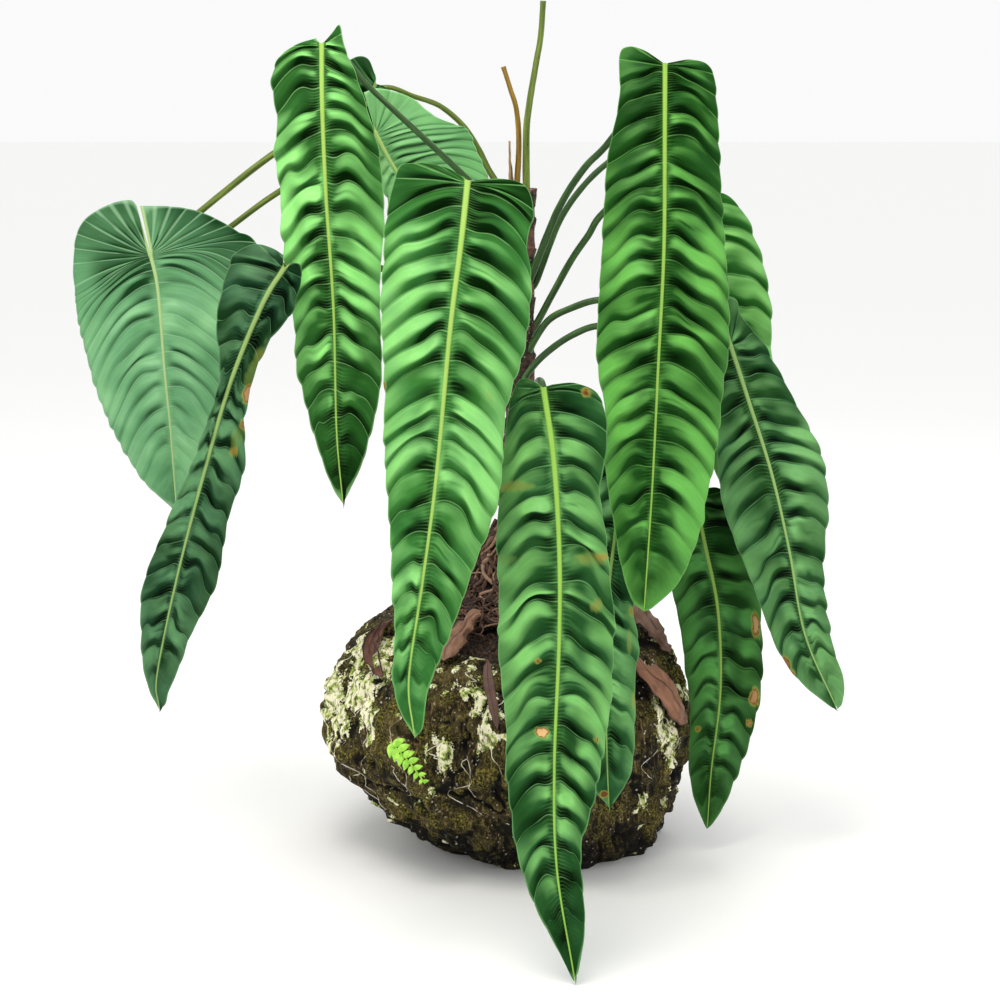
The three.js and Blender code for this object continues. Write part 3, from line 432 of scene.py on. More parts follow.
def bladeSheet(leaf, look, marks, seed):
    # Each row follows a side vein from the midrib to the margin: below = start + (end - start) * span^bend and
    # away = end * span. A pleat rises between two veins as |sin|^0.8 of its share, leans down towards the next
    # vein, and fades to the margin. The midrib is half an ellipse on both faces.
    form = bladeForm
    draw = np.random.default_rng(seed)
    length = spline(leaf["midrib"])[1][-1]
    halves = [spline(leaf[side] + [(length + 3, sign * 0.3)]) for side, sign in (("left", -1), ("right", 1))]
    outline = lambda share: np.stack([alongLine(*half, share * half[1][-1]) for half in halves])
    pleats = leaf["pleats"] * look["fine"]
    perPleat = form["rowsPerPleat"] if look["fine"] == 1 else form["fineRows"]
    relief = leaf["relief"] / look["fine"] ** form["fineness"]
    rows = pleats * perPleat + 1
    share = np.linspace(0, 1, rows)
    # veins start evenly for their ends' spacing, above their ends by the drop; then each half's ends are set so
    # that its veins droop alike
    even = np.linspace(0, 1, 401)
    evenEnds = outline(even)
    drop = look["drop"] * (form["dropAtNotch"] + form["dropGrowth"] * even)
    above = evenEnds[..., 0] - drop * np.abs(evenEnds[..., 1])
    above = np.concatenate([above, above.mean(0, keepdims=True)])
    height = (above + np.hypot(above, form["fanBlend"])) / 2
    height = (height - height[:, :1]) * length / (height[:, -1:] - height[:, :1])
    least = form["startStep"] * 2 * leaf["pleats"] * even
    starts = least + np.maximum.accumulate(height - least, axis=1)
    shift = form["uneven"] / leaf["pleats"] * noise(share * leaf["pleats"] * 0.9, 0.5, 0.5, seed + 9)
    start = np.interp(np.clip(share + shift * np.sin(np.pi * share), 0, 1), even, starts[2])
    start = np.maximum.accumulate(start)
    ends = np.stack([alongLine(*half, np.interp(start, own, even) * half[1][-1])
                     for half, own in zip(halves, starts)])
    ribHalf = form["ribWidth"] * leaf["rib"] * (1 - form["ribTaper"] * share)
    reach = np.hypot(ends[..., 0] - start, ends[..., 1])
    ribSpan = np.minimum(form["ribMost"], ribHalf / np.maximum(reach, 1e-6))
    inner = np.array(form["innerColumns"])
    outer = np.linspace(0, 1, form["outerColumns"] + 1)[1:] ** form["columnPower"]
    span = np.concatenate([ribSpan[..., None] * inner, ribSpan[..., None] + (1 - ribSpan[..., None]) * outer], 2)
    mound = np.concatenate([np.sqrt(1 - inner**2), np.zeros(len(outer))])
    span = np.concatenate([span[0][:, :0:-1], span[1]], 1)
    mound = np.concatenate([mound[:0:-1], mound])[None, :]
    sides = np.array([0] * (len(inner) + len(outer) - 1) + [1] * (len(inner) + len(outer)))
    sign = np.where(sides == 0, -1, 1)
    endBelow, endAway = ends[sides, :, 0].T, ends[sides, :, 1].T
    ribSpan = ribSpan[sides].T
    past = np.clip((span - ribSpan) / (1 - ribSpan), 0, 1)
    bend = np.where(endBelow > start[:, None], form["bendDown"], form["bendUp"])
    vein = share[:, None] * pleats
    spacing = np.gradient(start)[:, None] * perPleat
    wander = noise(vein * 0.7, past * 2.2 + 9 * sides, seed, seed) * form["wander"] * spacing
    below = start[:, None] + (endBelow - start[:, None]) * span**bend + wander * 4 * past * (1 - past)
    away = endAway * span
    # the pleats, each with a strength of its own, full where there is room and fading at both ends
    number = np.minimum(np.floor(vein).astype(int), pleats - 1)
    part = vein - number
    strength = draw.uniform(*form["strength"], (2, pleats))[sides[None, :], number]
    strength = strength * (1 + 0.3 * noise(vein * 0.6, past * 3 + 5 * sides, 2.5, seed + 3))
    bulge = np.abs(np.sin(np.pi * part)) ** form["roundness"] - form["lean"] * np.sin(2 * np.pi * part)
    roomy = np.clip(spacing / form["roomySpacing"] * look["fine"], 0, 1)
    tipFade = smoothStep(0.02, 0.16, 1 - share)[:, None]
    full = smoothStep(0, 0.08, share)[:, None] * tipFade * (0.25 + 0.75 * roomy)
    rise = relief * smoothStep(0, 0.2, past) * (1 - form["taper"] * past) * full
    lift = rise * (form["fullness"] * bulge * strength - form["sunk"])
    # crimps and wrinkles beside the midrib, then ripples and a slow sway towards the margin
    crimpTurn = 2 * np.pi * form["crimpsPerPleat"] / look["fine"] * vein
    crimpTurn = crimpTurn + 3.0 * noise(vein * 1.3, 3.0 + sides, 0, seed + 5)
    crimp = np.exp(-((past / 0.3) ** 2)) * smoothStep(0, 0.05, past)
    crimp = crimp * roomy * (0.4 + 1.2 * noise(vein * 1.1, past * 3 + 7 * sides, 6.5, seed + 6))
    lift = lift + form["crimp"] * crimp * np.sin(crimpTurn) * full
    wrinkle = noise(vein * 3.4 / look["fine"] + past, past * 3.5 + 6 * sides, 7.5, seed + 10)
    wrinkle = wrinkle * np.exp(-((past / 0.65) ** 2))
    lift = lift + form["wrinkle"] * wrinkle * smoothStep(0, 0.08, past) * full
    travel = share[:, None] * length
    lift = lift + form["ripple"] * past**3 * noise(travel / form["rippleLength"], 5.0 * sides, 1.5, seed + 1)
    lift = lift + form["sway"] * past * noise(travel / form["swayLength"], 2.0 * sides, 4.5, seed + 2)
    halfWidth = max(abs(y) for _, y in leaf["left"] + leaf["right"])
    fall = np.array(leaf["fall"], float)[sides][None, :] * (away / halfWidth) ** 2
    edgeWave = form["scallop"] * (bulge * strength - 0.6) * full
    slowWave = noise(travel / form["marginWaveLength"], 8.0 * sides, 3.5, seed + 12)
    edgeWave = edgeWave + form["marginWave"] * slowWave * tipFade
    away = away + sign * edgeWave * past**5
    place, tangent, across, out = leafAxes(leaf, below)
    middle = place + across * away[..., None] + out * (lift - fall)[..., None]
    crown = form["ribCrown"] * ribHalf[:, None] * mound
    ridge = form["ribBack"] * (1 - form["backTaper"] * share[:, None]) * mound
    half = form["thickness"] / 2
    front = middle + out * (half + crown)[..., None]
    back = middle - out * (half + ridge)[..., None]
    step = np.linalg.norm(np.gradient(middle, axis=0), axis=-1)
    slope = np.gradient(lift, axis=0) / np.maximum(step, 0.3)
    # how far each point is from the nearest vein, from the midrib and from the margin, for the lines drawn there
    veinGap = (0.5 - np.abs(part - 0.5)) * np.maximum(np.gradient(below, axis=0) * perPleat, 4)
    veinGap = veinGap + 1.2 * (1 - tipFade)
    veinGap = veinGap + 0.5 * smoothStep(-0.2, 0.6, noise(vein * 1.2, past * 4 + 5 * sides, 2.5, seed + 14))
    marginGap = (1 - past) * np.abs(endAway)
    ribGap = np.abs(away) / np.maximum(ribHalf[:, None], 0.5)
    comb = np.exp(-((np.abs(away) - ribHalf[:, None]) / 9.0).clip(0) ** 2) * full * roomy
    # painted shade in creases where a noise that runs with the pleats passes through zero, most of them beside the
    # midrib
    crease = noise(vein * 2.9 / look["fine"] + 0.4 * past, past * 0.9 + 6 * sides, 3.5, seed + 15)
    crease = np.exp(-((crease / 0.2) ** 2)) * np.exp(-((past / 0.5) ** 2)) * smoothStep(0.02, 0.1, past) * full
    # painted light and shade: painted light where the face looks up, painted shade where it looks down, in patches
    # that fade towards the margin
    patch = 0.72 + 0.6 * noise(vein * 0.9, past * 3 + 4 * sides, 8.5, seed + 7)
    lit = form["slopeLight"] * np.tanh(form["steepness"] * slope) * patch
    paintedLight = form["middleTone"] + lit * (1 - form["marginFade"] * smoothStep(0.25, 1, past))
    # painted shade beside the midrib and painted light towards the margin
    paintedLight = paintedLight + form["ribShade"] * np.exp(-((past / 0.3) ** 2)) + form["marginLight"] * smoothStep(0.3, 1, past)
    # painted shade on the lobes at the top and the hanging tip, which turn away from the light
    paintedLight = paintedLight + form["liftTone"] - look["topShade"] * (1 - smoothStep(0.02, 0.24, below / length))
    paintedLight = paintedLight - look["tipShade"] * smoothStep(0.5, 1, below / length)
    paintedLight = paintedLight + form["broadTone"] * noise(below / 75, away / 50 + 3 * sides, 9.5, seed + 8)
    paintedLight = paintedLight + form["smallTone"] * noise(below / 22, away / 30 + 3 * sides, 4.5, seed + 13)
    paintedLight = paintedLight - form["creaseShade"] / look["fine"] * crease
    dry = np.zeros(paintedLight.shape)
    ragged = 0.35 * noise(below / 4, away / 4, 0.5, seed + 16)
    for markBelow, markAway, high, wide, level in marks:
        reach = np.hypot((below - markBelow) / high, (away - markAway) / wide) + ragged
        dry = np.maximum(dry, level * smoothStep(0, 0.7, 1.35 - reach))
    fields = dict(paintedLight=paintedLight, dry=dry, veinGap=veinGap + 0 * span, ribGap=ribGap, marginGap=marginGap, comb=comb)
    uv = np.stack([vein + 0 * span, span * sign], -1)
    return front, back, fields, uv


def bladeMaterial(name, look):
    # living leaf, waxy: each pleat goes from painted shade in its fold to a painted highlight on its crest, with
    # fine pale veins drawn across it
    material = newMaterial("living leaf, waxy upper face " + name)
    place = addNode(material, "TexCoord").outputs["Object"]
    pattern = addNode(material, "UVMap", uv_map="pattern").outputs[0]
    # painted light and shade: the attribute picks the folds' painted shade, the face's own green or the crests'
    # painted highlight
    paintedLight = addNode(material, "Attribute", attribute_name="paintedLight").outputs["Fac"]
    stops = [(0.13, look["foldShade"]), (0.47, look["face"]), (0.78, look["crest"])]
    colour = addNode(material, "ValToRGB", {0: paintedLight}, stops).outputs[0]
    # blotches about 40 mm across, where the face turns bluer
    blotch = addNode(material, "TexNoise", {"Vector": place, "Scale": 22.0, "Detail": 3.0}).outputs[0]
    blotchShare = addNode(material, "MapRange", {0: blotch, 1: 0.42, 2: 0.68, 4: look["blue"]}).outputs[0]
    blotchShare = addNode(material, "Math", {0: blotchShare, 1: paintedLight}, operation="MULTIPLY").outputs[0]
    colour = addNode(material, "Mix", {0: blotchShare, 6: colour, 7: "#3f7a62"}, data_type="RGBA").outputs[2]
    # hair-fine side veins: streaks that run with the pleats, about six to a pleat
    stretched = addNode(material, "Mapping", {"Vector": pattern, "Scale": (6.0, 2.6, 1.0)}).outputs[0]
    streak = addNode(material, "TexNoise", {"Vector": stretched, "Scale": 1.0, "Detail": 3.0}).outputs[0]
    streakTint = addNode(material, "ValToRGB", {0: streak}, [(0.3, "#666666"), (0.5, "#808080"), (0.72, "#a8a8a8")])
    colour = addNode(material, "Mix", {0: 0.5, 6: colour, 7: streakTint.outputs[0]}, data_type="RGBA",
                     blend_type="SOFT_LIGHT").outputs[2]
    # comb of pale ticks beside the midrib, eight to a pleat, painted highlights on its fine wrinkles in the crests'
    # colour: a sine of 50.27 radians to a pleat
    number = addNode(material, "SeparateXYZ", {0: pattern}).outputs[0]
    comb = addNode(material, "Attribute", attribute_name="comb").outputs["Fac"]
    turn = addNode(material, "Math", {0: number, 1: 50.27, 2: streak}, operation="MULTIPLY_ADD").outputs[0]
    tooth = addNode(material, "Math", {0: turn}, operation="SINE").outputs[0]
    tick = addNode(material, "MapRange", {0: tooth, 1: 0.1, 2: 0.9, 4: 0.14}).outputs[0]
    tick = addNode(material, "Math", {0: tick, 1: comb}, operation="MULTIPLY").outputs[0]
    colour = addNode(material, "Mix", {0: tick, 6: colour, 7: look["crest"]}, data_type="RGBA").outputs[2]
    # main side veins, a line about 1 mm wide; the margin's pale edge; the midrib
    for gapName, near, far, most, tint in (("veinGap", 0.2, 0.95, 0.5, "line"),
                                           ("marginGap", 0.3, 1.5, 0.5, "line"),
                                           ("ribGap", 0.6, 1.05, 1.0, "rib")):
        gap = addNode(material, "Attribute", attribute_name=gapName).outputs["Fac"]
        line = addNode(material, "MapRange", {0: gap, 1: near, 2: far, 3: most, 4: 0.0}).outputs[0]
        colour = addNode(material, "Mix", {0: line, 6: colour, 7: look[tint]}, data_type="RGBA").outputs[2]
    # damaged spots: yellow-green where they begin, then brown, and dry tan in the middle
    dry = addNode(material, "Attribute", attribute_name="dry").outputs["Fac"]
    dryShare = addNode(material, "MapRange", {0: dry, 1: 0.05, 2: 0.6, 4: 0.92}).outputs[0]
    stops = [(0.2, "#86a850"), (0.45, "#a8903c"), (0.7, "#6e4424"), (0.92, "#e0b07a")]
    dryTint = addNode(material, "ValToRGB", {0: dry}, stops).outputs[0]
    colour = addNode(material, "Mix", {0: dryShare, 6: colour, 7: dryTint}, data_type="RGBA").outputs[2]
    # the wax shines on the crests, and its folds see little of the sky
    gloss = addNode(material, "MapRange", {0: blotch, 3: 0.36, 4: 0.5}).outputs[0]
    shine = addNode(material, "MapRange", {0: paintedLight, 1: 0.3, 2: 0.8, 3: 0.03, 4: 0.2}).outputs[0]
    bump = addNode(material, "Bump", {"Height": streak, "Strength": 0.5, "Distance": 0.0006}).outputs[0]
    shader = addNode(material, "BsdfPrincipled", {"Base Color": colour, "Roughness": gloss, "Normal": bump,
                                                  "IOR": 1.42, "Specular IOR Level": shine})
    addNode(material, "OutputMaterial", {"Surface": shader.outputs[0]})
    return material


def undersideMaterial(name, look):
    # living leaf, matt underside: paler and duller than the face, with its veins standing out lighter
    material = newMaterial("living leaf, matt underside " + name)
    pattern = addNode(material, "UVMap", uv_map="pattern").outputs[0]
    stretched = addNode(material, "Mapping", {"Vector": pattern, "Scale": (9.0, 2.2, 1.0)}).outputs[0]
    streak = addNode(material, "TexNoise", {"Vector": stretched, "Scale": 1.0, "Detail": 4.0}).outputs[0]
    colour = addNode(material, "Mix", {0: streak, 6: look["face"], 7: "#8fb48a"}, data_type="RGBA").outputs[2]
    for gapName, near, far, most, tint in (("veinGap", 0.5, 1.5, 0.7, "#a9c58f"),
                                           ("ribGap", 0.8, 1.1, 1.0, "#a3c079")):
        gap = addNode(material, "Attribute", attribute_name=gapName).outputs["Fac"]
        line = addNode(material, "MapRange", {0: gap, 1: near, 2: far, 3: most, 4: 0.0}).outputs[0]
        colour = addNode(material, "Mix", {0: line, 6: colour, 7: tint}, data_type="RGBA").outputs[2]
    bump = addNode(material, "Bump", {"Height": streak, "Strength": 0.5, "Distance": 0.0006}).outputs[0]
    shader = addNode(material, "BsdfPrincipled", {"Base Color": colour, "Roughness": 0.62, "Normal": bump})
    addNode(material, "OutputMaterial", {"Surface": shader.outputs[0]})
    return material


for seed, (name, leaf) in enumerate(leaves.items()):
    look = bladeLooks[name]
    front, back, fields, uv = bladeSheet(leaf, look, leafMarks.get(name, []), seed + 11)
    materials = [bladeMaterial(name, look), undersideMaterial(name, look)]
    makeSheet("leaf_blade_" + name, front, back, uv, materials, "blade_" + name,
              fields)
print("leaves: blades made")


# leaf stalks: the side of the stem in degrees and the height that each starts at, its radii at the stem and at the
# blade, and the points that it goes through
stalks = {
    "A": dict(side=165, height=757, radii=(5.5, 4.2), via=[(-59, 12, 842), (-132, 16, 899),
            (-205, 18, 907), (-285, 12, 865), (-376, -4, 795), (-414, -16, 764)]),
    "B": dict(side=240, height=640, radii=(5, 3.8), via=[(-14, -52, 656), (-60, -88, 690),
            (-130, -115, 730), (-205, -128, 748), (-262, -140, 742), (-281, -166, 738)]),
    "C": dict(side=246, height=772, radii=(4.8, 3.4), via=[(-10, -66, 800), (-45, -94, 837),
            (-99, -116, 889), (-131, -125, 919), (-166, -134, 953), (-190, -139, 982)]),
    "D": dict(side=270, height=733, radii=(5.5, 4.5), via=[(-4, -150, 779), (-24, -290, 826),
            (-38, -362, 850)]),
    "E": dict(side=205, height=790, radii=(4.8, 3.8), via=[(-46, -6, 828), (-100, -22, 875),
            (-140, -38, 896)]),
    "F": dict(side=275, height=545, radii=(5.5, 4.5), via=[(18, -150, 585), (28, -290, 620),
            (33, -390, 642)]),
    "G": dict(side=318, height=718, radii=(5.2, 4), via=[(60, -40, 800), (89, -62, 849),
            (117, -88, 881), (158, -122, 940)]),
    "H": dict(side=8, height=706, radii=(4.6, 3.6), via=[(60, 2, 777), (84, 5, 816), (117, 7, 850),
            (160, 9, 877), (200, 10, 858)]),
    "I": dict(side=355, height=652, radii=(4.8, 4), via=[(57, -10, 700), (78, -18, 739), (97, -26, 768),
            (113, -34, 794), (158, -46, 832), (217, -54, 820), (256, -64, 738)]),
    "J": dict(side=322, height=630, radii=(4.8, 4), via=[(49, -24, 664), (74, -32, 679),
            (111, -40, 691), (162, -46, 688), (206, -48, 643), (225, -52, 558)]),
    "K": dict(side=290, height=588, radii=(4.8, 4), via=[(42, -38, 622), (74, -55, 648),
            (108, -72, 663), (136, -90, 654), (150, -108, 615)]),
    "L": dict(side=175, height=726, radii=(5, 3.8), via=[(-71, 16, 810), (-145, 22, 856),
            (-218, 24, 853), (-284, 20, 816), (-340, 16, 776), (-374, 12, 750)]),
    "M": dict(side=150, height=800, radii=(4.8, 3), via=[(-24, 16, 845), (-36, 18, 869), (-55, 14, 898),
            (-83, 8, 922), (-115, -1, 934), (-140, -8, 944)]),
}
# the stem's line, which the stalks start from
stemForm = dict(axis=[(0, 0, 196), (0, 0, 300), (6, 0, 461), (16, 0, 595), (17, 0, 748), (17, 0, 822)])
# foot is how far out of the stem's line and how far above its start each stalk's first points are; notch is how far
# down the midrib it ends, and the last two points are that far behind the blade
stalkForm = dict(sides=16, steps=120, foot=[(3, -16), (11, -6), (19.5, 7)], notch=3.0, behind=(9.0, 1.5),
                 swell=0.35, swellLength=0.035, collar=0.12, fullness=0.92, unevenness=0.03)
stalkLooks = {
    "olive": dict(body="#5f7226", light="#8a9c42", dark="#43521a", nick="#33330f"),
    "green": dict(body="#305424", light="#587f3e", dark="#1c3613", nick="#23330f"),
    "brown": dict(body="#8a6a1a", light="#b08c34", dark="#5c4210", nick="#3a260c"),
}
stalkColours = dict(A="olive", B="olive", E="olive", L="olive", M="olive")


def stemCentre(height):
    # the middle of the stem at a height, straight between its axis's points
    axis = np.array(stemForm["axis"], float)
    return np.stack([np.interp(height, axis[:, 2], axis[:, k]) for k in (0, 1)] + [np.asarray(height, float)], -1)


def tubePoints(route, radii, sides, steps):
    # circles of the given radii carried along the route, each square to it
    line, lengths = spline(route)
    distance = np.linspace(0, lengths[-1], steps)
    centre = alongLine(line, lengths, distance)
    tangent = unit(alongLine(unit(np.gradient(line, axis=0)), lengths, distance))
    plain = np.eye(3)[np.argmin(np.abs(tangent).max(0))]
    normal = unit(np.cross(tangent, plain))
    side = np.cross(tangent, normal)
    turn = np.linspace(0, 2 * np.pi, sides, endpoint=False)
    ring = np.cos(turn)[None, :, None] * normal[:, None] + np.sin(turn)[None, :, None] * side[:, None]
    return centre[:, None] + ring * np.reshape(radii, (steps, -1, 1)), distance, turn


def stalkMaterial(name, look):
    # leaf stalk, smooth skin: a green cane with paler and darker lengthwise streaks, and dark nicks across it
    material = newMaterial("leaf stalk, smooth skin " + name)
    place = addNode(material, "TexCoord").outputs["Object"]
    pattern = addNode(material, "UVMap", uv_map="pattern").outputs[0]
    stretched = addNode(material, "Mapping", {"Vector": pattern, "Scale": (3.0, 2.0, 1.0)}).outputs[0]
    streak = addNode(material, "TexNoise", {"Vector": stretched, "Scale": 1.0, "Detail": 3.0}).outputs[0]
    stops = [(0.25, look["dark"]), (0.5, look["body"]), (0.8, look["light"])]
    colour = addNode(material, "ValToRGB", {0: streak}, stops).outputs[0]
    cell = addNode(material, "TexVoronoi", {"Vector": place, "Scale": 60.0}).outputs["Distance"]
    nick = addNode(material, "MapRange", {0: cell, 1: 0.08, 2: 0.13, 3: 0.6, 4: 0.0}).outputs[0]
    colour = addNode(material, "Mix", {0: nick, 6: colour, 7: look["nick"]}, data_type="RGBA").outputs[2]
    bump = addNode(material, "Bump", {"Height": streak, "Strength": 0.2, "Distance": 0.0004}).outputs[0]
    shader = addNode(material, "BsdfPrincipled", {"Base Color": colour, "Roughness": 0.42, "Normal": bump,
                                                  "IOR": 1.42})
    addNode(material, "OutputMaterial", {"Surface": shader.outputs[0]})
    return material


stalkMaterials = {name: stalkMaterial(name, look) for name, look in stalkLooks.items()}


def makeStalk(name, route, radii, colour, node, seed):
    # a tube that narrows evenly, swells at its foot and a little at its end, and is slightly out of round
    form = stalkForm
    share = np.linspace(0, 1, form["steps"])
    radius = radii[0] + (radii[1] - radii[0]) * share
    footSwell = form["swell"] * np.exp(-((share / form["swellLength"]) ** 2))
    radius = radius * (1 + footSwell + form["collar"] * smoothStep(0.95, 1, share))
    turn = np.linspace(0, 2 * np.pi, form["sides"], endpoint=False)
    rough = noise(np.cos(turn)[None] * 1.1 + 3, np.sin(turn)[None] * 1.1, share[:, None] * 26, seed)
    radius = radius[:, None] * (form["fullness"] + form["unevenness"] * rough)
    rings, distance, turn = tubePoints(route, radius, form["sides"], form["steps"])
    # the pattern runs round from -1 to 1, and on by 1 for each 100 mm
    uv = np.stack(np.broadcast_arrays((turn / np.pi - 1)[None, :], distance[:, None] / 100), -1)
    uv = np.concatenate([uv.reshape(-1, 2), [[0, 0], [0, distance[-1] / 100]]])
    makeTube(name, rings, stalkMaterials[colour], node, uv=uv)


for seed, (name, stalk) in enumerate(stalks.items()):
    centre = stemCentre(stalk["height"])
    angle = np.radians(stalk["side"])
    away = np.array([np.cos(angle), np.sin(angle), 0])
    place, tangent, across, out = leafAxes(leaves[name], np.array([stalkForm["notch"]]))
    route = [centre + away * d + np.array([0, 0, rise]) for d, rise in stalkForm["foot"]] + list(stalk["via"])
    route += [place[0] - out[0] * gap for gap in stalkForm["behind"]]
    colour = stalkColours.get(name, "green")
    makeStalk("leaf_stalk_" + name, route, stalk["radii"], colour, "petiole_" + name, seed + 40)
print("leaves: stalks made")


# A squat planter of weathered tree-fern fibre. Levels are height, radius and how far the wall's centre lies to +X;
# ribs and flutes are count, size, phase and lean. The front of the mouth dips. Lumps to crust are depths in mm, and
# crack is a narrow crevice's depth as a share of a broad one's.
potForm = dict(levels=[(0, 136, 50), (16, 156, 40), (46, 182, 25), (85, 206, 10), (130, 226, 0), (172, 226, 0),
                       (206, 221, 0), (234, 209, 0), (258, 192, 0), (276, 172, 0), (288, 154, 0)],
               inner=[(286, 136), (262, 146), (236, 170)], rimTop=288, dipHeight=234, dip=22, turns=440,
               outerRows=140, innerRows=12, ribs=(9, 5.5, 0.6, 1 / 90), flutes=(19, 3.5, 0.0, -1 / 40),
               ledgeSpacing=34, ledgeSize=2.5, ledgeWander=3, lumps=5.4, grit=1.9, fibres=2.8, crevice=7.5,
               creviceWidth=0.085, crack=0.5, crackWidth=0.1, crust=1.8)
# patches of crusty lichen on the wall: centre and radius
lichenPatches = [(-192, -100, 218, 34), (-174, -131, 214, 28), (-162, -110, 252, 36), (-208, -88, 176, 28),
                 (-185, -60, 250, 30), (-150, -90, 275, 26), (-216, -56, 204, 32), (-160, -152, 186, 16),
                 (-77, -212, 174, 15), (-73, -214, 154, 14), (-96, -205, 166, 9), (-34, -205, 235, 15),
                 (-19, -214, 219, 19), (-25, -221, 197, 15), (-46, -196, 245, 12), (-64, -163, 273, 12),
                 (-40, -171, 272, 18), (-22, -180, 267, 12), (185, -124, 193, 20),
                 (196, -113, 165, 25), (178, -129, 207, 15), (202, -102, 142, 18), (201, -64, 66, 15),
                 (161, -143, 91, 13), (-106, -183, 104, 9), (-200, 96, 200, 30), (-40, 222, 180, 34),
                 (150, 170, 210, 28), (60, 214, 240, 20), (226, 20, 150, 24), (-120, 190, 120, 20)]
potColours = dict(fibre="#342a12", paleAndHighlight="#8e7c4c", dark="#060402", moss="#504e1a", gold="#aa9a40",
                  crustGreen="#c2d078", crustPale="#fffad8")


def frontness(turn):
    # the square of how far the turn looks to the front: 1 straight in front, 0 from the sides backwards
    return np.maximum(0, -np.sin(turn)) ** 2


def wallSink(turn, height):
    # how far the front is worn down: nothing at the dip's height, growing evenly to the whole dip at the rim
    form = potForm
    return form["dip"] * frontness(turn) * np.maximum(0, height - form["dipHeight"]) / (
        form["rimTop"] - form["dipHeight"])


def patchField(points, patches):
    # 1 at a patch's middle, 0 at its edge, less outside
    spots = np.array(patches, float)
    field = np.full(points.shape[:-1], -9.0)
    for x, y, z, radius in spots:
        field = np.maximum(field, 1 - np.linalg.norm((points - (x, y, z)) * (1, 1, 0.75), axis=-1) / radius)
    return field


def potSurface():
    # The wall is its profile turned round the axis, pushed out by broad ribs, flutes and ledges as sines of the
    # turn and the height, then by lumps, grit and upright fibres from noise. Crevices are cut where a broad
    # noise passes through zero, and lichen crust stands proud inside its patches.
    form = potForm
    turn = np.linspace(0, 2 * np.pi, form["turns"], endpoint=False)[None, :]
    outerLine, innerLine = spline(form["levels"]), spline([form["levels"][-1][:2]] + form["inner"])
    outer = alongLine(*outerLine, np.linspace(0, outerLine[1][-1], form["outerRows"]))
    inner = alongLine(*innerLine, np.linspace(0, innerLine[1][-1], form["innerRows"] + 1))[1:]
    height = np.concatenate([outer[:, 0], inner[:, 0]])[:, None]
    radius = np.concatenate([outer[:, 1], inner[:, 1]])[:, None]
    shift = np.concatenate([outer[:, 2], 0 * inner[:, 0]])[:, None]
    outside = np.concatenate([np.ones(form["outerRows"]), np.linspace(0.8, 0, form["innerRows"])])[:, None]
    for count, size, phase, lean in (form["ribs"], form["flutes"]):
        radius = radius + outside * size * np.sin(count * turn + phase + lean * height)
    ledgeTurn = 2 * np.pi * height / form["ledgeSpacing"] + form["ledgeWander"] * np.sin(2 * turn)
    radius = radius + outside * form["ledgeSize"] * np.sin(ledgeTurn)
    level = height - wallSink(turn, height)
    x, y = radius * np.cos(turn) + shift, radius * np.sin(turn)
    points = np.stack([x, y, level], -1)
    # noise whose lumps are so many millimetres across and up
    rough = lambda across, up, seed: noise(x / across, y / across, level / up, seed)
    lumps = rough(26, 26, 3) + 0.5 * rough(12, 12, 4)
    grit = rough(6, 6, 5)
    fibres = noise(turn * 40 * np.cos(turn / 2) ** 2 + 90 * np.sin(turn / 2) ** 2, level / 34 + 0 * turn, 7, 6)
    broad = rough(38, 44, 8) + 0.3 * rough(12, 20, 9)
    crevice = np.exp(-((broad / form["creviceWidth"]) ** 2)) * smoothStep(-0.45, 0.35, rough(60, 60, 10))
    narrow = rough(15, 40, 15) + 0.25 * rough(6, 14, 16)
    crack = np.exp(-((narrow / form["crackWidth"]) ** 2)) * smoothStep(-0.3, 0.5, rough(34, 34, 17))
    crevice = np.maximum(crevice, form["crack"] * crack)
    scatter = rough(34, 34, 11) + 0.6 * rough(13, 13, 12) - 0.86
    lichen = np.maximum(patchField(points, lichenPatches), scatter)
    lichen = lichen + 0.55 * rough(9, 24, 13) + 0.4 * rough(3.6, 9, 14) - 0.16
    crust = smoothStep(0, 0.16, lichen)
    push = form["lumps"] * lumps + form["grit"] * grit + form["fibres"] * fibres - form["crevice"] * crevice
    push = push + form["crust"] * crust * (1 + 0.4 * grit)
    push = push * outside * smoothStep(0, 14, height)
    direction = np.stack([np.cos(turn) + 0 * height, np.sin(turn) + 0 * height,
                          0.35 * (height - 120) / 120 + 0 * turn], -1)
    points = points + unit(direction) * push[..., None]
    points[..., 2] = np.maximum(points[..., 2], 0)
    # painted shade in crevices, under lumps and between fibres
    hollowShade = crevice + 0.5 * np.maximum(0, -lumps - 0.1) + 0.3 * np.maximum(0, -fibres)
    # painted shade too: the wall is darker towards its foot, where it turns under
    hollowShade = hollowShade + 0.35 * smoothStep(-0.1, 0.9, (70 - level) / 70)
    return points, dict(lichen=lichen, hollowShade=np.clip(hollowShade, 0, 1), lumps=lumps)


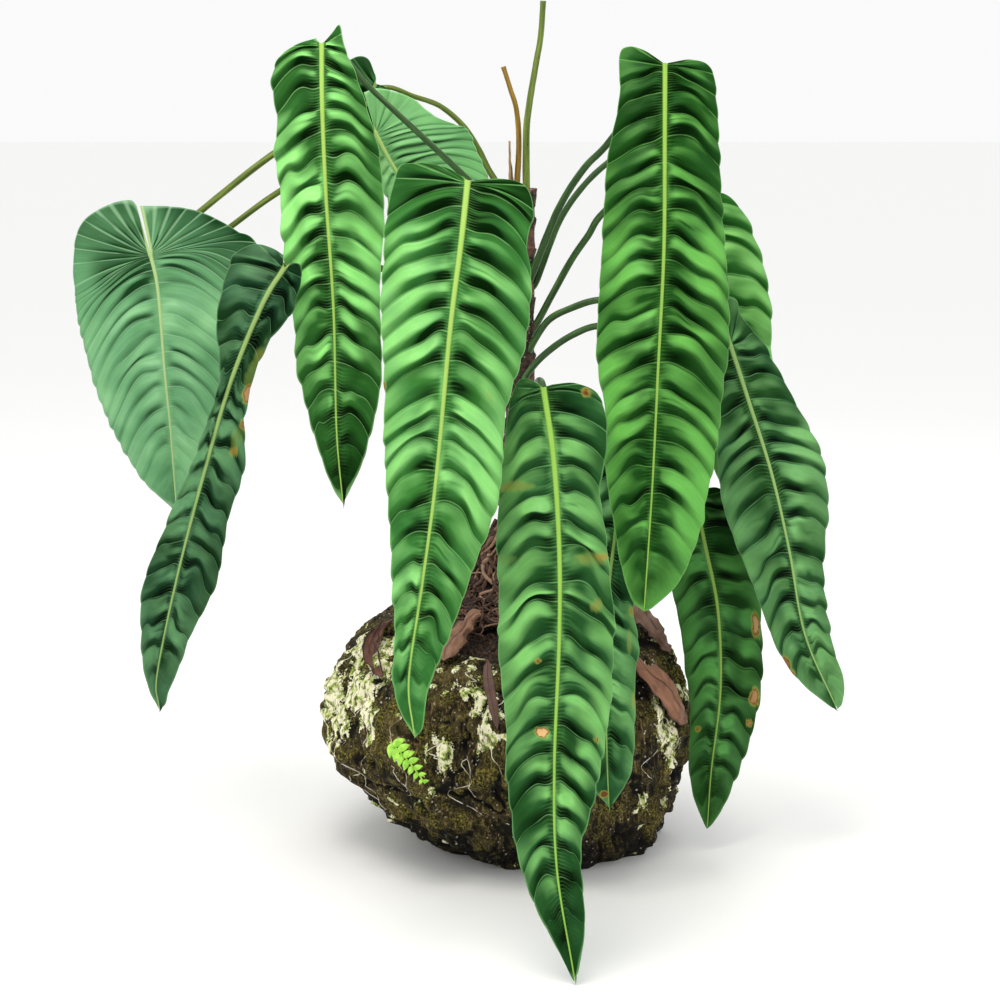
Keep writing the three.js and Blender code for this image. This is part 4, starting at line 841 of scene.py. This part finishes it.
def potMaterial():
    # weathered tree-fern fibre, rotted and grown over: dark fibre with moss in the hollows and pale lichen crust
    material = newMaterial("tree-fern fibre, weathered and mossy")
    place = addNode(material, "TexCoord").outputs["Object"]
    # fibres run up the wall, 2 to 4 mm apart
    upright = addNode(material, "Mapping", {"Vector": place, "Scale": (260.0, 260.0, 58.0)}).outputs[0]
    fibre = addNode(material, "TexNoise", {"Vector": upright, "Scale": 1.0, "Detail": 6.0,
                                           "Roughness": 0.72}).outputs[0]
    stops = [(0.38, potColours["dark"]), (0.52, potColours["fibre"]), (0.66, potColours["paleAndHighlight"])]
    colour = addNode(material, "ValToRGB", {0: fibre}, stops).outputs[0]
    # painted highlight: the lumps that stand out are drawn paler, as lit from above
    lumps = addNode(material, "Attribute", attribute_name="lumps").outputs["Fac"]
    lumpHighlight = addNode(material, "MapRange", {0: lumps, 1: 0.2, 2: 1.1, 4: 0.3}).outputs[0]
    colour = addNode(material, "Mix", {0: lumpHighlight, 6: colour, 7: potColours["paleAndHighlight"]}, data_type="RGBA",
                     blend_type="SCREEN").outputs[2]
    # cushions of moss about 40 mm apart, with leaves 2 to 3 mm apart
    cushion = addNode(material, "TexNoise", {"Vector": place, "Scale": 26.0, "Detail": 6.0,
                                             "Roughness": 0.7}).outputs[0]
    mossShare = addNode(material, "MapRange", {0: cushion, 1: 0.46, 2: 0.6, 4: 0.9}).outputs[0]
    leafy = addNode(material, "TexNoise", {"Vector": place, "Scale": 420.0, "Detail": 3.0}).outputs[0]
    stops = [(0.38, potColours["dark"]), (0.52, potColours["moss"]), (0.68, potColours["gold"])]
    moss = addNode(material, "ValToRGB", {0: leafy}, stops).outputs[0]
    colour = addNode(material, "Mix", {0: mossShare, 6: colour, 7: moss}, data_type="RGBA").outputs[2]
    # painted shade: crevices and the undersides of lumps are near black
    hollowShade = addNode(material, "Attribute", attribute_name="hollowShade").outputs["Fac"]
    shade = addNode(material, "MapRange", {0: hollowShade, 1: 0.06, 2: 0.5, 4: 0.96}).outputs[0]
    colour = addNode(material, "Mix", {0: shade, 6: colour, 7: "#080604"}, data_type="RGBA").outputs[2]
    # grains of perlite and mineral salt, about 2 mm
    grain = addNode(material, "TexVoronoi", {"Vector": place, "Scale": 130.0}).outputs["Distance"]
    grainShare = addNode(material, "MapRange", {0: grain, 1: 0.14, 2: 0.22, 3: 1.0, 4: 0.0}).outputs[0]
    cluster = addNode(material, "MapRange", {0: cushion, 1: 0.5, 2: 0.4, 3: 0.05, 4: 0.85}).outputs[0]
    grainShare = addNode(material, "Math", {0: grainShare, 1: cluster}, operation="MULTIPLY").outputs[0]
    colour = addNode(material, "Mix", {0: grainShare, 6: colour, 7: "#c9c2ae"}, data_type="RGBA").outputs[2]
    # lichen crust with a ragged edge
    lichen = addNode(material, "Attribute", attribute_name="lichen").outputs["Fac"]
    ragged = addNode(material, "Math", {0: leafy, 1: 0.9, 2: lichen}, operation="MULTIPLY_ADD").outputs[0]
    crustShare = addNode(material, "MapRange", {0: ragged, 1: 0.48, 2: 0.53, 4: 0.97}).outputs[0]
    # dark chinks in the crust, long up the wall
    chink = addNode(material, "MapRange", {0: fibre, 1: 0.4, 2: 0.46}).outputs[0]
    crustShare = addNode(material, "Math", {0: crustShare, 1: chink}, operation="MULTIPLY").outputs[0]
    mottle = addNode(material, "TexNoise", {"Vector": place, "Scale": 120.0, "Detail": 5.0}).outputs[0]
    stops = [(0.36, "#5c6a34"), (0.45, potColours["crustGreen"]), (0.54, potColours["crustPale"])]
    crust = addNode(material, "ValToRGB", {0: mottle}, stops).outputs[0]
    colour = addNode(material, "Mix", {0: crustShare, 6: colour, 7: crust}, data_type="RGBA").outputs[2]
    bump = addNode(material, "Bump", {"Height": leafy, "Strength": 0.8, "Distance": 0.002}).outputs[0]
    bump = addNode(material, "Bump", {"Height": fibre, "Strength": 0.7, "Distance": 0.002,
                                      "Normal": bump}).outputs[0]
    shader = addNode(material, "BsdfPrincipled", {"Base Color": colour, "Roughness": 0.9, "Normal": bump,
                                                  "Specular IOR Level": 0.25})
    addNode(material, "OutputMaterial", {"Surface": shader.outputs[0]})
    return material


wall, wallFields = potSurface()
makeTube("planter_wall", wall, potMaterial(), "planter", wallFields)
print("planter: wall made")


def repeatFaces(one, count, pointsEach):
    # one shape's faces again for each of many copies whose points follow one another
    jump = (np.arange(count) * pointsEach)[:, None, None]
    groups = [np.array([face for face in one if len(face) == size]) for size in (4, 3)]
    return sum([(group + jump).reshape(-1, group.shape[1]).tolist() for group in groups if len(group)], [])


def manyTubes(line, radius, sides):
    # a round tube along every line of a stack of lines at once, its radius given for each of its points
    count, steps = line.shape[:2]
    tangent = unit(np.gradient(line, axis=1))
    normal = unit(np.cross(tangent, (0.31, 0.22, 1.0)))
    side = np.cross(tangent, normal)
    turn = np.linspace(0, 2 * np.pi, sides, endpoint=False)[None, None, :, None]
    ring = np.cos(turn) * normal[:, :, None] + np.sin(turn) * side[:, :, None]
    points = line[:, :, None] + ring * np.broadcast_to(radius, (count, steps))[:, :, None, None]
    points = np.concatenate([points.reshape(count, -1, 3), points[:, [0, -1]].mean(2)], 1)
    return points, repeatFaces(tubeFaces(steps, sides), count, points.shape[1])


# fine white roots and twigs that creep over the wall
threadForm = dict(count=46, steps=44, sides=5, radius=(0.3, 0.7), rowsLong=(14, 44), wander=7, lift=0.6)


def creepingThreads():
    # a thread runs down the wall's grid of points, its column drifting with noise
    form = threadForm
    draw = np.random.default_rng(91)
    count, steps = form["count"], form["steps"]
    share = np.linspace(0, 1, steps)[None, :]
    own = np.arange(count)[:, None]
    top = draw.uniform(60, potForm["outerRows"] - 3, (count, 1))
    row = np.clip(top - share * draw.uniform(*form["rowsLong"], (count, 1)), 4, potForm["outerRows"] - 2)
    column = draw.uniform(0, potForm["turns"], (count, 1)) + form["wander"] * noise(share * 3, own * 3.7, 0, 92)
    column = column + 3 * noise(share * 11, own * 5.1, 0, 93)
    line = wall[row.astype(int), column.astype(int) % potForm["turns"]]
    smooth = (line[:, :-2] + line[:, 1:-1] + line[:, 2:]) / 3
    smooth = (smooth[:, :-2] + smooth[:, 1:-1] + smooth[:, 2:]) / 3
    outward = unit(smooth * (1, 1, 0))
    return manyTubes(smooth + outward * form["lift"], draw.uniform(*form["radius"], (count, 1)), form["sides"])


def threadMaterial():
    # fine dry roots: off white with grey stretches, matt
    material = newMaterial("fine dry roots, off white")
    place = addNode(material, "TexCoord").outputs["Object"]
    stain = addNode(material, "TexNoise", {"Vector": place, "Scale": 60.0, "Detail": 3.0}).outputs[0]
    stops = [(0.36, "#6e6046"), (0.48, "#c8bea4"), (0.6, "#f2eee2")]
    colour = addNode(material, "ValToRGB", {0: stain}, stops).outputs[0]
    shader = addNode(material, "BsdfPrincipled", {"Base Color": colour, "Roughness": 0.8})
    addNode(material, "OutputMaterial", {"Surface": shader.outputs[0]})
    return material


threadPoints, threadFaces = creepingThreads()
makePiece("creeping_roots", threadPoints.reshape(-1, 3), threadFaces, [threadMaterial()])
print("planter: creeping roots made")

# Potting mix: a lumpy top that falls to the wall, with bark chips on it. Edge and top are heights; a chip's three
# sides are drawn between two sizes, times its shape.
mixForm = dict(rings=46, turns=200, innerRadius=18, edge=261, edgeRadius=145.5, edgeDip=13.64, flatRadius=98,
               top=288.4, depth=34, lumps=3.5, chips=260, chipReach=(30, 138), chipSize=(4, 11),
               chipShape=(1.0, 0.6, 0.28))


def mixSurface():
    # height falls by a smooth step from the flat middle to the wall, with noise on it; the rim turns down
    form = mixForm
    turn = np.linspace(0, 2 * np.pi, form["turns"], endpoint=False)[None, :]
    radius = np.linspace(form["innerRadius"], form["edgeRadius"], form["rings"])[:, None]
    edge = form["edge"] - form["edgeDip"] * frontness(turn)
    share = np.clip((radius - form["flatRadius"]) / (form["edgeRadius"] - form["flatRadius"]), 0, 1)
    x, y = radius * np.cos(turn), radius * np.sin(turn)
    lumps = noise(x / 15, y / 15, 0, 21) + 0.6 * noise(x / 6, y / 6, 0, 22)
    height = form["top"] + (edge - form["top"]) * share + form["lumps"] * (lumps - 0.9)
    top = np.stack([x, y, height], -1)
    skirt = top[-1:] * (1, 1, 0) + (0, 0, form["edge"] - form["depth"])
    return np.concatenate([top, skirt])


def crumbMaterial():
    # potting mix, damp bark and coir: near black with brown crumbs about 4 mm across
    material = newMaterial("potting mix, damp bark and coir")
    place = addNode(material, "TexCoord").outputs["Object"]
    crumb = addNode(material, "TexNoise", {"Vector": place, "Scale": 260.0, "Detail": 5.0}).outputs[0]
    stops = [(0.34, "#0d0806"), (0.52, "#2c1d14"), (0.68, "#5a4030")]
    colour = addNode(material, "ValToRGB", {0: crumb}, stops).outputs[0]
    bump = addNode(material, "Bump", {"Height": crumb, "Strength": 0.9, "Distance": 0.003}).outputs[0]
    shader = addNode(material, "BsdfPrincipled", {"Base Color": colour, "Roughness": 0.95, "Normal": bump})
    addNode(material, "OutputMaterial", {"Surface": shader.outputs[0]})
    return material


mix = mixSurface()
makeTube("potting_mix_top", mix, crumbMaterial(), "potting_mix", insideOut=True)


def barkChips():
    # boxes with random sides and turns, strewn over the mix; each corner is pushed a little out of true
    form = mixForm
    draw = np.random.default_rng(95)
    count = form["chips"]
    reach, turn = draw.uniform(*form["chipReach"], count), draw.uniform(0, 2 * np.pi, count)
    share = (reach - form["innerRadius"]) / (form["edgeRadius"] - form["innerRadius"])
    row = np.clip(share * (form["rings"] - 1), 0, form["rings"] - 1)
    centre = mix[row.astype(int), (turn / (2 * np.pi) * form["turns"]).astype(int)] + (0, 0, 1.2)
    sides = draw.uniform(*form["chipSize"], (count, 1, 3)) * form["chipShape"]
    corners = np.array([(x, y, z) for x in (-0.5, 0.5) for y in (-0.5, 0.5) for z in (-0.5, 0.5)])
    boxes = (corners[None] + draw.uniform(-0.12, 0.12, (count, 8, 3))) * sides
    axes = np.linalg.qr(np.eye(3) + draw.normal(0, 1, (count, 3, 3)) * (1, 1, 0.35))[0]
    axes[:, :, 0] *= np.sign(np.linalg.det(axes))[:, None]
    box = np.array([(0, 1, 3, 2), (4, 6, 7, 5), (0, 4, 5, 1), (2, 3, 7, 6), (0, 2, 6, 4), (1, 5, 7, 3)])
    points = centre[:, None] + np.einsum("nij,nkj->nki", axes, boxes)
    return points.reshape(-1, 3), repeatFaces(box.tolist(), count, 8)


chipPoints, chipFaces = barkChips()
makePiece("bark_chips", chipPoints, chipFaces, [crumbMaterial()])
print("planter: potting mix made")


# Roots climbing to the stem: a dark core with a net of root strands over it. A level is the rise above the foot and
# the radius there. A root starts at a rise, goes down by a share of it, turns by up to so many radians, and lies so
# far out of the core.
moundForm = dict(levels=[(0, 92), (16, 80), (38, 61), (64, 46), (90, 35), (112, 25), (124, 19)], foot=288.5,
                 turns=150, rows=60, strands=9, strandSize=0.14, twist=0.035, rootCount=170, rootSides=6,
                 rootSteps=34, rootRadius=(1.3, 3.4), rootStart=(20, 128), rootReach=(0.35, 1.0), rootTurn=1.1,
                 rootOut=(-1, 5), rootSpread=26)


def moundRadius(rise):
    # straight between the levels
    levels = np.array(moundForm["levels"], float)
    return np.interp(rise, levels[:, 0], levels[:, 1])


def moundSurface():
    # the cone's radius swells and shrinks with the cosine of the strands' turn, and with noise
    form = moundForm
    turn = np.linspace(0, 2 * np.pi, form["turns"], endpoint=False)[None, :]
    rise = np.linspace(0, form["levels"][-1][0], form["rows"])[:, None]
    strand = np.cos(form["strands"] * (turn + form["twist"] * rise))
    radius = moundRadius(rise) * (1 + form["strandSize"] * strand * np.minimum(1, (moundRadius(rise) - 19) / 12))
    centre = stemCentre(form["foot"] + rise)
    x, y = radius * np.cos(turn), radius * np.sin(turn)
    push = 1 + (3.0 * noise(x / 12, y / 12, rise / 12, 31) + 1.5 * noise(x / 5, y / 5, rise / 5, 32) - 2) / radius
    return np.stack([centre[..., 0] + x * push, centre[..., 1] + y * push, centre[..., 2] + 0 * turn], -1)


def rootStrands():
    # Each root starts on the stem and runs down and out: its rise falls as (1 - share)^1.6 of the start's, its
    # turn drifts with noise, and it follows the mound's radius a few millimetres out of it, in and out of the net.
    form = moundForm
    draw = np.random.default_rng(71)
    count, steps, sides = form["rootCount"], form["rootSteps"], form["rootSides"]
    share = np.linspace(0, 1, steps)[None, :]
    own = np.arange(count)[:, None]
    start = draw.uniform(*form["rootStart"], (count, 1))
    reach = draw.uniform(*form["rootReach"], (count, 1))
    twist = form["rootTurn"]
    angle = draw.uniform(0, 2 * np.pi, (count, 1)) + draw.uniform(-twist, twist, (count, 1)) * share
    angle = angle + 0.35 * noise(share * 4, own * 3.1, 0, 33)
    rise = start * (1 - share * reach) ** 1.6 + 5 * noise(share * 5, own * 2.3, 0, 34)
    rise = np.maximum(rise, 1.5)
    spread = moundRadius(rise) + draw.uniform(*form["rootOut"], (count, 1))
    spread = spread + 4 * noise(share * 6, own * 1.7, 0, 35)
    spread = spread + draw.uniform(0, form["rootSpread"], (count, 1)) * smoothStep(0.7, 1.0, share) * (rise < 16)
    centre = stemCentre(form["foot"] + rise)
    line = centre + np.stack([spread * np.cos(angle), spread * np.sin(angle), 0 * rise], -1)
    radius = draw.uniform(*form["rootRadius"], (count, 1)) * (1 - 0.6 * share)
    points, faces = manyTubes(line, radius, sides)
    tint = np.repeat(draw.uniform(0, 1, count), points.shape[1])
    return points.reshape(-1, 3), faces, tint


def rootMaterial():
    # aerial roots, corky skin: grey brown, each root a little lighter or darker than the next
    material = newMaterial("aerial roots, corky skin")
    place = addNode(material, "TexCoord").outputs["Object"]
    tint = addNode(material, "Attribute", attribute_name="tint").outputs["Fac"]
    stops = [(0.0, "#3c281e"), (0.55, "#6a4a3a"), (1.0, "#9a7a62")]
    colour = addNode(material, "ValToRGB", {0: tint}, stops).outputs[0]
    scurf = addNode(material, "TexNoise", {"Vector": place, "Scale": 320.0, "Detail": 4.0}).outputs[0]
    dust = addNode(material, "MapRange", {0: scurf, 1: 0.5, 2: 0.75, 4: 0.7}).outputs[0]
    colour = addNode(material, "Mix", {0: dust, 6: colour, 7: "#241812"}, data_type="RGBA").outputs[2]
    bump = addNode(material, "Bump", {"Height": scurf, "Strength": 0.8, "Distance": 0.0015}).outputs[0]
    shader = addNode(material, "BsdfPrincipled", {"Base Color": colour, "Roughness": 0.85, "Normal": bump})
    addNode(material, "OutputMaterial", {"Surface": shader.outputs[0]})
    return material


makeTube("root_tangle_core", moundSurface(), crumbMaterial(), "root_mound")
strandPoints, strandFaces, strandTint = rootStrands()
makePiece("root_tangle_strands", strandPoints, strandFaces, [rootMaterial()], (), dict(tint=strandTint))
print("roots: core and strands made")

# stem: an upright trunk, scaly, with a ledge at each leaf scar; the scars are tilted rings
trunkForm = dict(radius=15.6, low=290, top=823, rows=420, turns=56, scarSpacing=34, scarHeight=415, scarTilt=5,
                 ledge=2.2, lumps=1.5, flakes=1.1)


def trunkSurface():
    # the radius climbs along each joint of the stem and drops at the scar; noise makes lumps and lifted flakes
    form = trunkForm
    turn = np.linspace(0, 2 * np.pi, form["turns"], endpoint=False)[None, :]
    height = np.linspace(form["low"], form["top"], form["rows"])[:, None]
    tilt = height + form["scarTilt"] * np.cos(turn + height / 30)
    part = np.mod((tilt - form["scarHeight"]) / form["scarSpacing"], 1)
    x, y = 9 * np.cos(turn), 9 * np.sin(turn)
    flake = smoothStep(0.05, 0.3, noise(x / 6, y / 6, height / 13, 41) + 0.5 * noise(x / 3, y / 3, height / 6, 42))
    radius = form["radius"] + form["ledge"] * (part**3 - 0.3) + form["flakes"] * flake
    radius = radius + form["lumps"] * noise(x / 9, y / 9, height / 16, 43)
    centre = stemCentre(height)
    points = np.stack([centre[..., 0] + radius * np.cos(turn), centre[..., 1] + radius * np.sin(turn),
                       centre[..., 2] + 0 * turn], -1)
    return points, dict(flake=flake)


def trunkMaterial():
    # old aroid stem, scaly bark: near black brown with dull pink flakes and pale corky specks
    material = newMaterial("old aroid stem, scaly bark")
    place = addNode(material, "TexCoord").outputs["Object"]
    bark = addNode(material, "TexNoise", {"Vector": place, "Scale": 150.0, "Detail": 5.0}).outputs[0]
    stops = [(0.35, "#17100c"), (0.55, "#3a2a22"), (0.7, "#5a4034")]
    colour = addNode(material, "ValToRGB", {0: bark}, stops).outputs[0]
    flake = addNode(material, "Attribute", attribute_name="flake").outputs["Fac"]
    flakeShare = addNode(material, "Math", {0: flake, 1: bark}, operation="MULTIPLY").outputs[0]
    colour = addNode(material, "Mix", {0: flakeShare, 6: colour, 7: "#94685a"}, data_type="RGBA").outputs[2]
    speck = addNode(material, "TexVoronoi", {"Vector": place, "Scale": 190.0}).outputs["Distance"]
    speckShare = addNode(material, "MapRange", {0: speck, 1: 0.12, 2: 0.2, 3: 0.8, 4: 0.0}).outputs[0]
    colour = addNode(material, "Mix", {0: speckShare, 6: colour, 7: "#c8b8aa"}, data_type="RGBA").outputs[2]
    bump = addNode(material, "Bump", {"Height": bark, "Strength": 0.9, "Distance": 0.002}).outputs[0]
    shader = addNode(material, "BsdfPrincipled", {"Base Color": colour, "Roughness": 0.85, "Normal": bump})
    addNode(material, "OutputMaterial", {"Surface": shader.outputs[0]})
    return material


trunk, trunkFields = trunkSurface()
makeTube("stem_bark", trunk, trunkMaterial(), "stem", trunkFields)
print("stem: bark made")


# dead leaves fallen on the planter: curl in degrees, half-widths along the spine, where the outside looks, colour,
# how deeply it is crumpled, and the spine
deadLeaves = {
    "dead_leaf_scroll": dict(
        curl=250, halfWidths=(8, 18, 20, 9), facing=(0.51, 0.49, -0.71), tint="#7e5646", crumple=2.2,
        spine=[(-144, -36, 291), (-158, -65, 279), (-164, -94, 262), (-152, -142, 246)]),
    "dead_leaf_crumpled": dict(
        curl=150, halfWidths=(6, 16, 18, 5), facing=(-0.26, -0.66, 0.7), tint="#967058", crumple=7.0,
        spine=[(-32, -91, 321), (-48, -110, 309), (-64, -119, 291), (-80, -164, 273)]),
    "dead_leaf_strip": dict(
        curl=90, halfWidths=(4, 7, 7, 3), facing=(-0.18, -0.78, 0.6), tint="#6c4e42", crumple=1.5,
        spine=[(-25, -156, 272), (-24, -194, 254), (-18, -221, 231), (-13, -232, 207)]),
    "dead_leaf_curled": dict(
        curl=190, halfWidths=(9, 20, 22, 8), facing=(0.39, -0.35, 0.85), tint="#8a6a5a", crumple=6.0,
        spine=[(154, -13, 309), (170, -33, 300), (188, -52, 283), (201, -57, 255)]),
    "dead_leaf_smooth": dict(
        curl=70, halfWidths=(10, 27, 27, 6), facing=(0.71, -0.57, 0.43), tint="#9a6c50", crumple=2.6,
        spine=[(151, -132, 270), (173, -147, 252), (201, -123, 218), (223, -69, 168)]),
}
litterForm = dict(rows=56, columns=30, thickness=1.0, fine=0.7, torn=0.16)


def litterSheet(leaf, seed):
    # each row is an arc of the curl across the spine; noise crumples it and tears its edge
    form = litterForm
    line, lengths = spline(leaf["spine"])
    share = np.linspace(0, 1, form["rows"])
    place = alongLine(line, lengths, share * lengths[-1])
    tangent = unit(alongLine(unit(np.gradient(line, axis=0)), lengths, share * lengths[-1]))
    across = unit(np.cross(np.array(leaf["facing"], float)[None], tangent))
    out = np.cross(tangent, across)
    widths = spline(list(enumerate(leaf["halfWidths"])))[0]
    half = np.interp(share * (len(leaf["halfWidths"]) - 1), widths[:, 0], widths[:, 1])
    tip = np.sqrt(np.clip(np.minimum(share, 1 - share) * 9, 0.02, 1))
    radius = (half / np.radians(leaf["curl"] / 2))[:, None]
    column = np.linspace(-1, 1, form["columns"])[None, :]
    ragged = 1 - form["torn"] * np.abs(column) * (1 + noise(share[:, None] * 14, column * 2 + seed, 0, seed))
    turn = np.radians(leaf["curl"] / 2) * column * ragged * tip[:, None]
    # sharp ridges where one noise is near zero
    mound = leaf["crumple"] * (0.5 - 1.6 * np.abs(noise(share[:, None] * 5, turn * radius / 11, seed, 51)))
    mound = mound + form["fine"] * noise(share[:, None] * 15, turn * radius / 3, seed, 52)
    grids = []
    for lift in (form["thickness"], 0):
        reach = radius + lift + mound
        side, up = reach * np.sin(turn), reach * np.cos(turn) - radius
        grids.append(place[:, None] + across[:, None] * side[..., None] + out[:, None] * up[..., None])
    uv = np.stack(np.broadcast_arrays(column, share[:, None] * lengths[-1] / 20), -1)
    return grids[0], grids[1], uv


def deadLeafMaterial(name, tint):
    # dead leaf, dry and papery: tan brown with darker veins and rot blotches, matt
    material = newMaterial("dead leaf, dry paper " + name)
    place = addNode(material, "TexCoord").outputs["Object"]
    pattern = addNode(material, "UVMap", uv_map="pattern").outputs[0]
    stretched = addNode(material, "Mapping", {"Vector": pattern, "Scale": (4.0, 0.5, 1.0)}).outputs[0]
    streak = addNode(material, "TexNoise", {"Vector": stretched, "Scale": 1.0, "Detail": 4.0}).outputs[0]
    stops = [(0.3, "#505050"), (0.5, "#808080"), (0.7, "#c0c0c0")]
    light = addNode(material, "ValToRGB", {0: streak}, stops).outputs[0]
    blotch = addNode(material, "TexNoise", {"Vector": place, "Scale": 70.0, "Detail": 4.0}).outputs[0]
    blotchShare = addNode(material, "MapRange", {0: blotch, 1: 0.5, 2: 0.75, 4: 0.55}).outputs[0]
    colour = addNode(material, "Mix", {0: blotchShare, 6: tint, 7: "#3a241a"}, data_type="RGBA").outputs[2]
    colour = addNode(material, "Mix", {0: 0.5, 6: colour, 7: light}, data_type="RGBA",
                     blend_type="SOFT_LIGHT").outputs[2]
    # a darker midrib and a darker rim
    column = addNode(material, "SeparateXYZ", {0: pattern}).outputs[0]
    column = addNode(material, "Math", {0: column}, operation="ABSOLUTE").outputs[0]
    stops = [(0.03, "#a89c94"), (0.07, "#ffffff"), (0.8, "#ffffff"), (0.97, "#7a6c64")]
    rim = addNode(material, "ValToRGB", {0: column}, stops).outputs[0]
    colour = addNode(material, "Mix", {0: 1.0, 6: colour, 7: rim}, data_type="RGBA",
                     blend_type="MULTIPLY").outputs[2]
    bump = addNode(material, "Bump", {"Height": streak, "Strength": 0.6, "Distance": 0.0015}).outputs[0]
    shader = addNode(material, "BsdfPrincipled", {"Base Color": colour, "Roughness": 0.72, "Normal": bump})
    addNode(material, "OutputMaterial", {"Surface": shader.outputs[0]})
    return material


for seed, (name, leaf) in enumerate(deadLeaves.items()):
    front, back, uv = litterSheet(leaf, seed + 3)
    makeSheet(name.replace("dead_leaf", "fallen_leaf"), front, back, uv, [deadLeafMaterial(name, leaf["tint"])],
              name)
print("litter: fallen leaves made")

# a young fern frond rooted in the wall: pairs of oval pinnae on a thin rib
fernForm = dict(pairs=7, longest=17, shortest=6, halfWidth=0.3, lean=0.5, crown=1.1, droop=0.16, thickness=0.8,
                rows=11, columns=7, ribRadius=0.9, ribSides=6, ribSteps=24,
                spine=[(-140, -214, 186), (-127, -227, 177), (-112, -236, 162), (-98, -240, 143)],
                facing=(-0.35, -1, 0.25))


def fernPinnae():
    # Each pinna runs out from the rib at a lean; its half-width is sin(pi * share^0.7)^0.8 of its widest, its
    # middle is raised and its tip droops with the square of the share.
    form = fernForm
    line, lengths = spline(form["spine"])
    count = 2 * form["pairs"]
    station = np.repeat((np.arange(form["pairs"]) + 0.5) / form["pairs"], 2)
    sign = np.tile([1.0, -1.0], form["pairs"])
    station = np.clip(station + 0.02 * sign, 0, 1)
    place = alongLine(line, lengths, station * lengths[-1])
    tangent = unit(alongLine(unit(np.gradient(line, axis=0)), lengths, station * lengths[-1]))
    across = unit(np.cross(np.array(form["facing"], float)[None], tangent))
    out = np.cross(tangent, across)
    heading = unit(across * sign[:, None] + tangent * form["lean"])
    wide = np.cross(out, heading)
    full = form["longest"] + (form["shortest"] - form["longest"]) * station ** 1.5
    share = np.linspace(0.02, 1, form["rows"])[None, :, None]
    column = np.linspace(-1, 1, form["columns"])[None, None, :]
    half = form["halfWidth"] * full[:, None, None] * np.maximum(np.sin(np.pi * share ** 0.7), 0.06) ** 0.8
    lift = form["crown"] * (1 - column ** 2) - form["droop"] * full[:, None, None] * share ** 2
    lift = lift + 0.4 * noise(share * 4, column, 0, 55)
    base = place[:, None, None] + heading[:, None, None] * (share * full[:, None, None])[..., None]
    base = base + wide[:, None, None] * (column * half)[..., None]
    shell = np.stack([base + out[:, None, None] * (lift + step)[..., None] for step in (form["thickness"], 0)], 1)
    one = np.concatenate(shellFaces(form["rows"], form["columns"])).tolist()
    # the pinnae on the other side are mirrored, so their columns are put the other way round
    flip = sign < 0
    shell[flip] = shell[flip][:, :, :, ::-1]
    return shell.reshape(-1, 3), repeatFaces(one, count, 2 * form["rows"] * form["columns"])


def fernMaterial():
    # young fern, thin fresh leaf: bright yellow green, mottled
    material = newMaterial("young fern, thin fresh leaf")
    place = addNode(material, "TexCoord").outputs["Object"]
    mottle = addNode(material, "TexNoise", {"Vector": place, "Scale": 150.0, "Detail": 3.0}).outputs[0]
    colour = addNode(material, "ValToRGB", {0: mottle}, [(0.35, "#86c834"), (0.65, "#b8ee58")]).outputs[0]
    shader = addNode(material, "BsdfPrincipled", {"Base Color": colour, "Roughness": 0.5})
    addNode(material, "OutputMaterial", {"Surface": shader.outputs[0]})
    return material


fernGreen = fernMaterial()
pinnaPoints, pinnaFaces = fernPinnae()
makePiece("fern_pinnae", pinnaPoints, pinnaFaces, [fernGreen], ["fern_frond"])
rib = spline(fernForm["spine"], fernForm["ribSteps"])[0]
ribPoints, ribFaces = manyTubes(rib[None], fernForm["ribRadius"], fernForm["ribSides"])
makePiece("fern_rib", ribPoints.reshape(-1, 3), ribFaces, [fernGreen])

# the stubs of two cut stalks on the stem's top, and the dry scale round their foot
cutStalks = {
    "cut_petiole_tall": dict(radii=(5, 3.6), colour="olive", path=[(22, -3, 812), (22, -2, 890), (26, 1, 927),
                             (32, 2, 964), (39, 3, 1005), (42, 4, 1047)]),
    "cut_petiole_short": dict(radii=(4.2, 3), colour="brown", path=[(10, 6, 812), (13, 8, 877), (10, 9, 917),
                              (3, 10, 941), (-6, 11, 969)]),
}
for seed, (name, stub) in enumerate(cutStalks.items()):
    makeStalk(name.replace("petiole", "stalk"), stub["path"], stub["radii"], stub["colour"], name, seed + 80)
scaleForm = dict(radius=16, height=58, bottom=822.5, thickness=0.9, startAngle=165, sweep=90, taper=0.75, lean=23,
                 rows=30, columns=16)


def scaleSheet():
    # part of a tube that narrows and leans as it rises, with a wavy edge
    form = scaleForm
    share = np.linspace(0, 1, form["rows"])[:, None]
    column = np.linspace(-0.5, 0.5, form["columns"])[None, ::-1]
    sweep = form["sweep"] * (1 - form["taper"] * share) * (1 + 0.1 * noise(share * 6, column, 0, 61))
    angle = np.radians(form["startAngle"] + column * sweep + form["lean"] * share)
    centre = stemCentre(form["bottom"])
    grids = []
    for inset in (0, form["thickness"]):
        radius = form["radius"] - inset + 0.8 * noise(share * 7, column * 3, 0, 62)
        grids.append(np.stack([centre[0] + radius * np.cos(angle), centre[1] + radius * np.sin(angle),
                               form["bottom"] + form["height"] * share + 0 * angle], -1))
    return grids[0], grids[1], np.stack([column + 0 * share, share * 3 + 0 * column], -1)


front, back, uv = scaleSheet()
makeSheet("dry_scale", front, back, uv, [deadLeafMaterial("scale", "#b8986a")], "sheath")
print("stem: cut stalks and dry scale made")
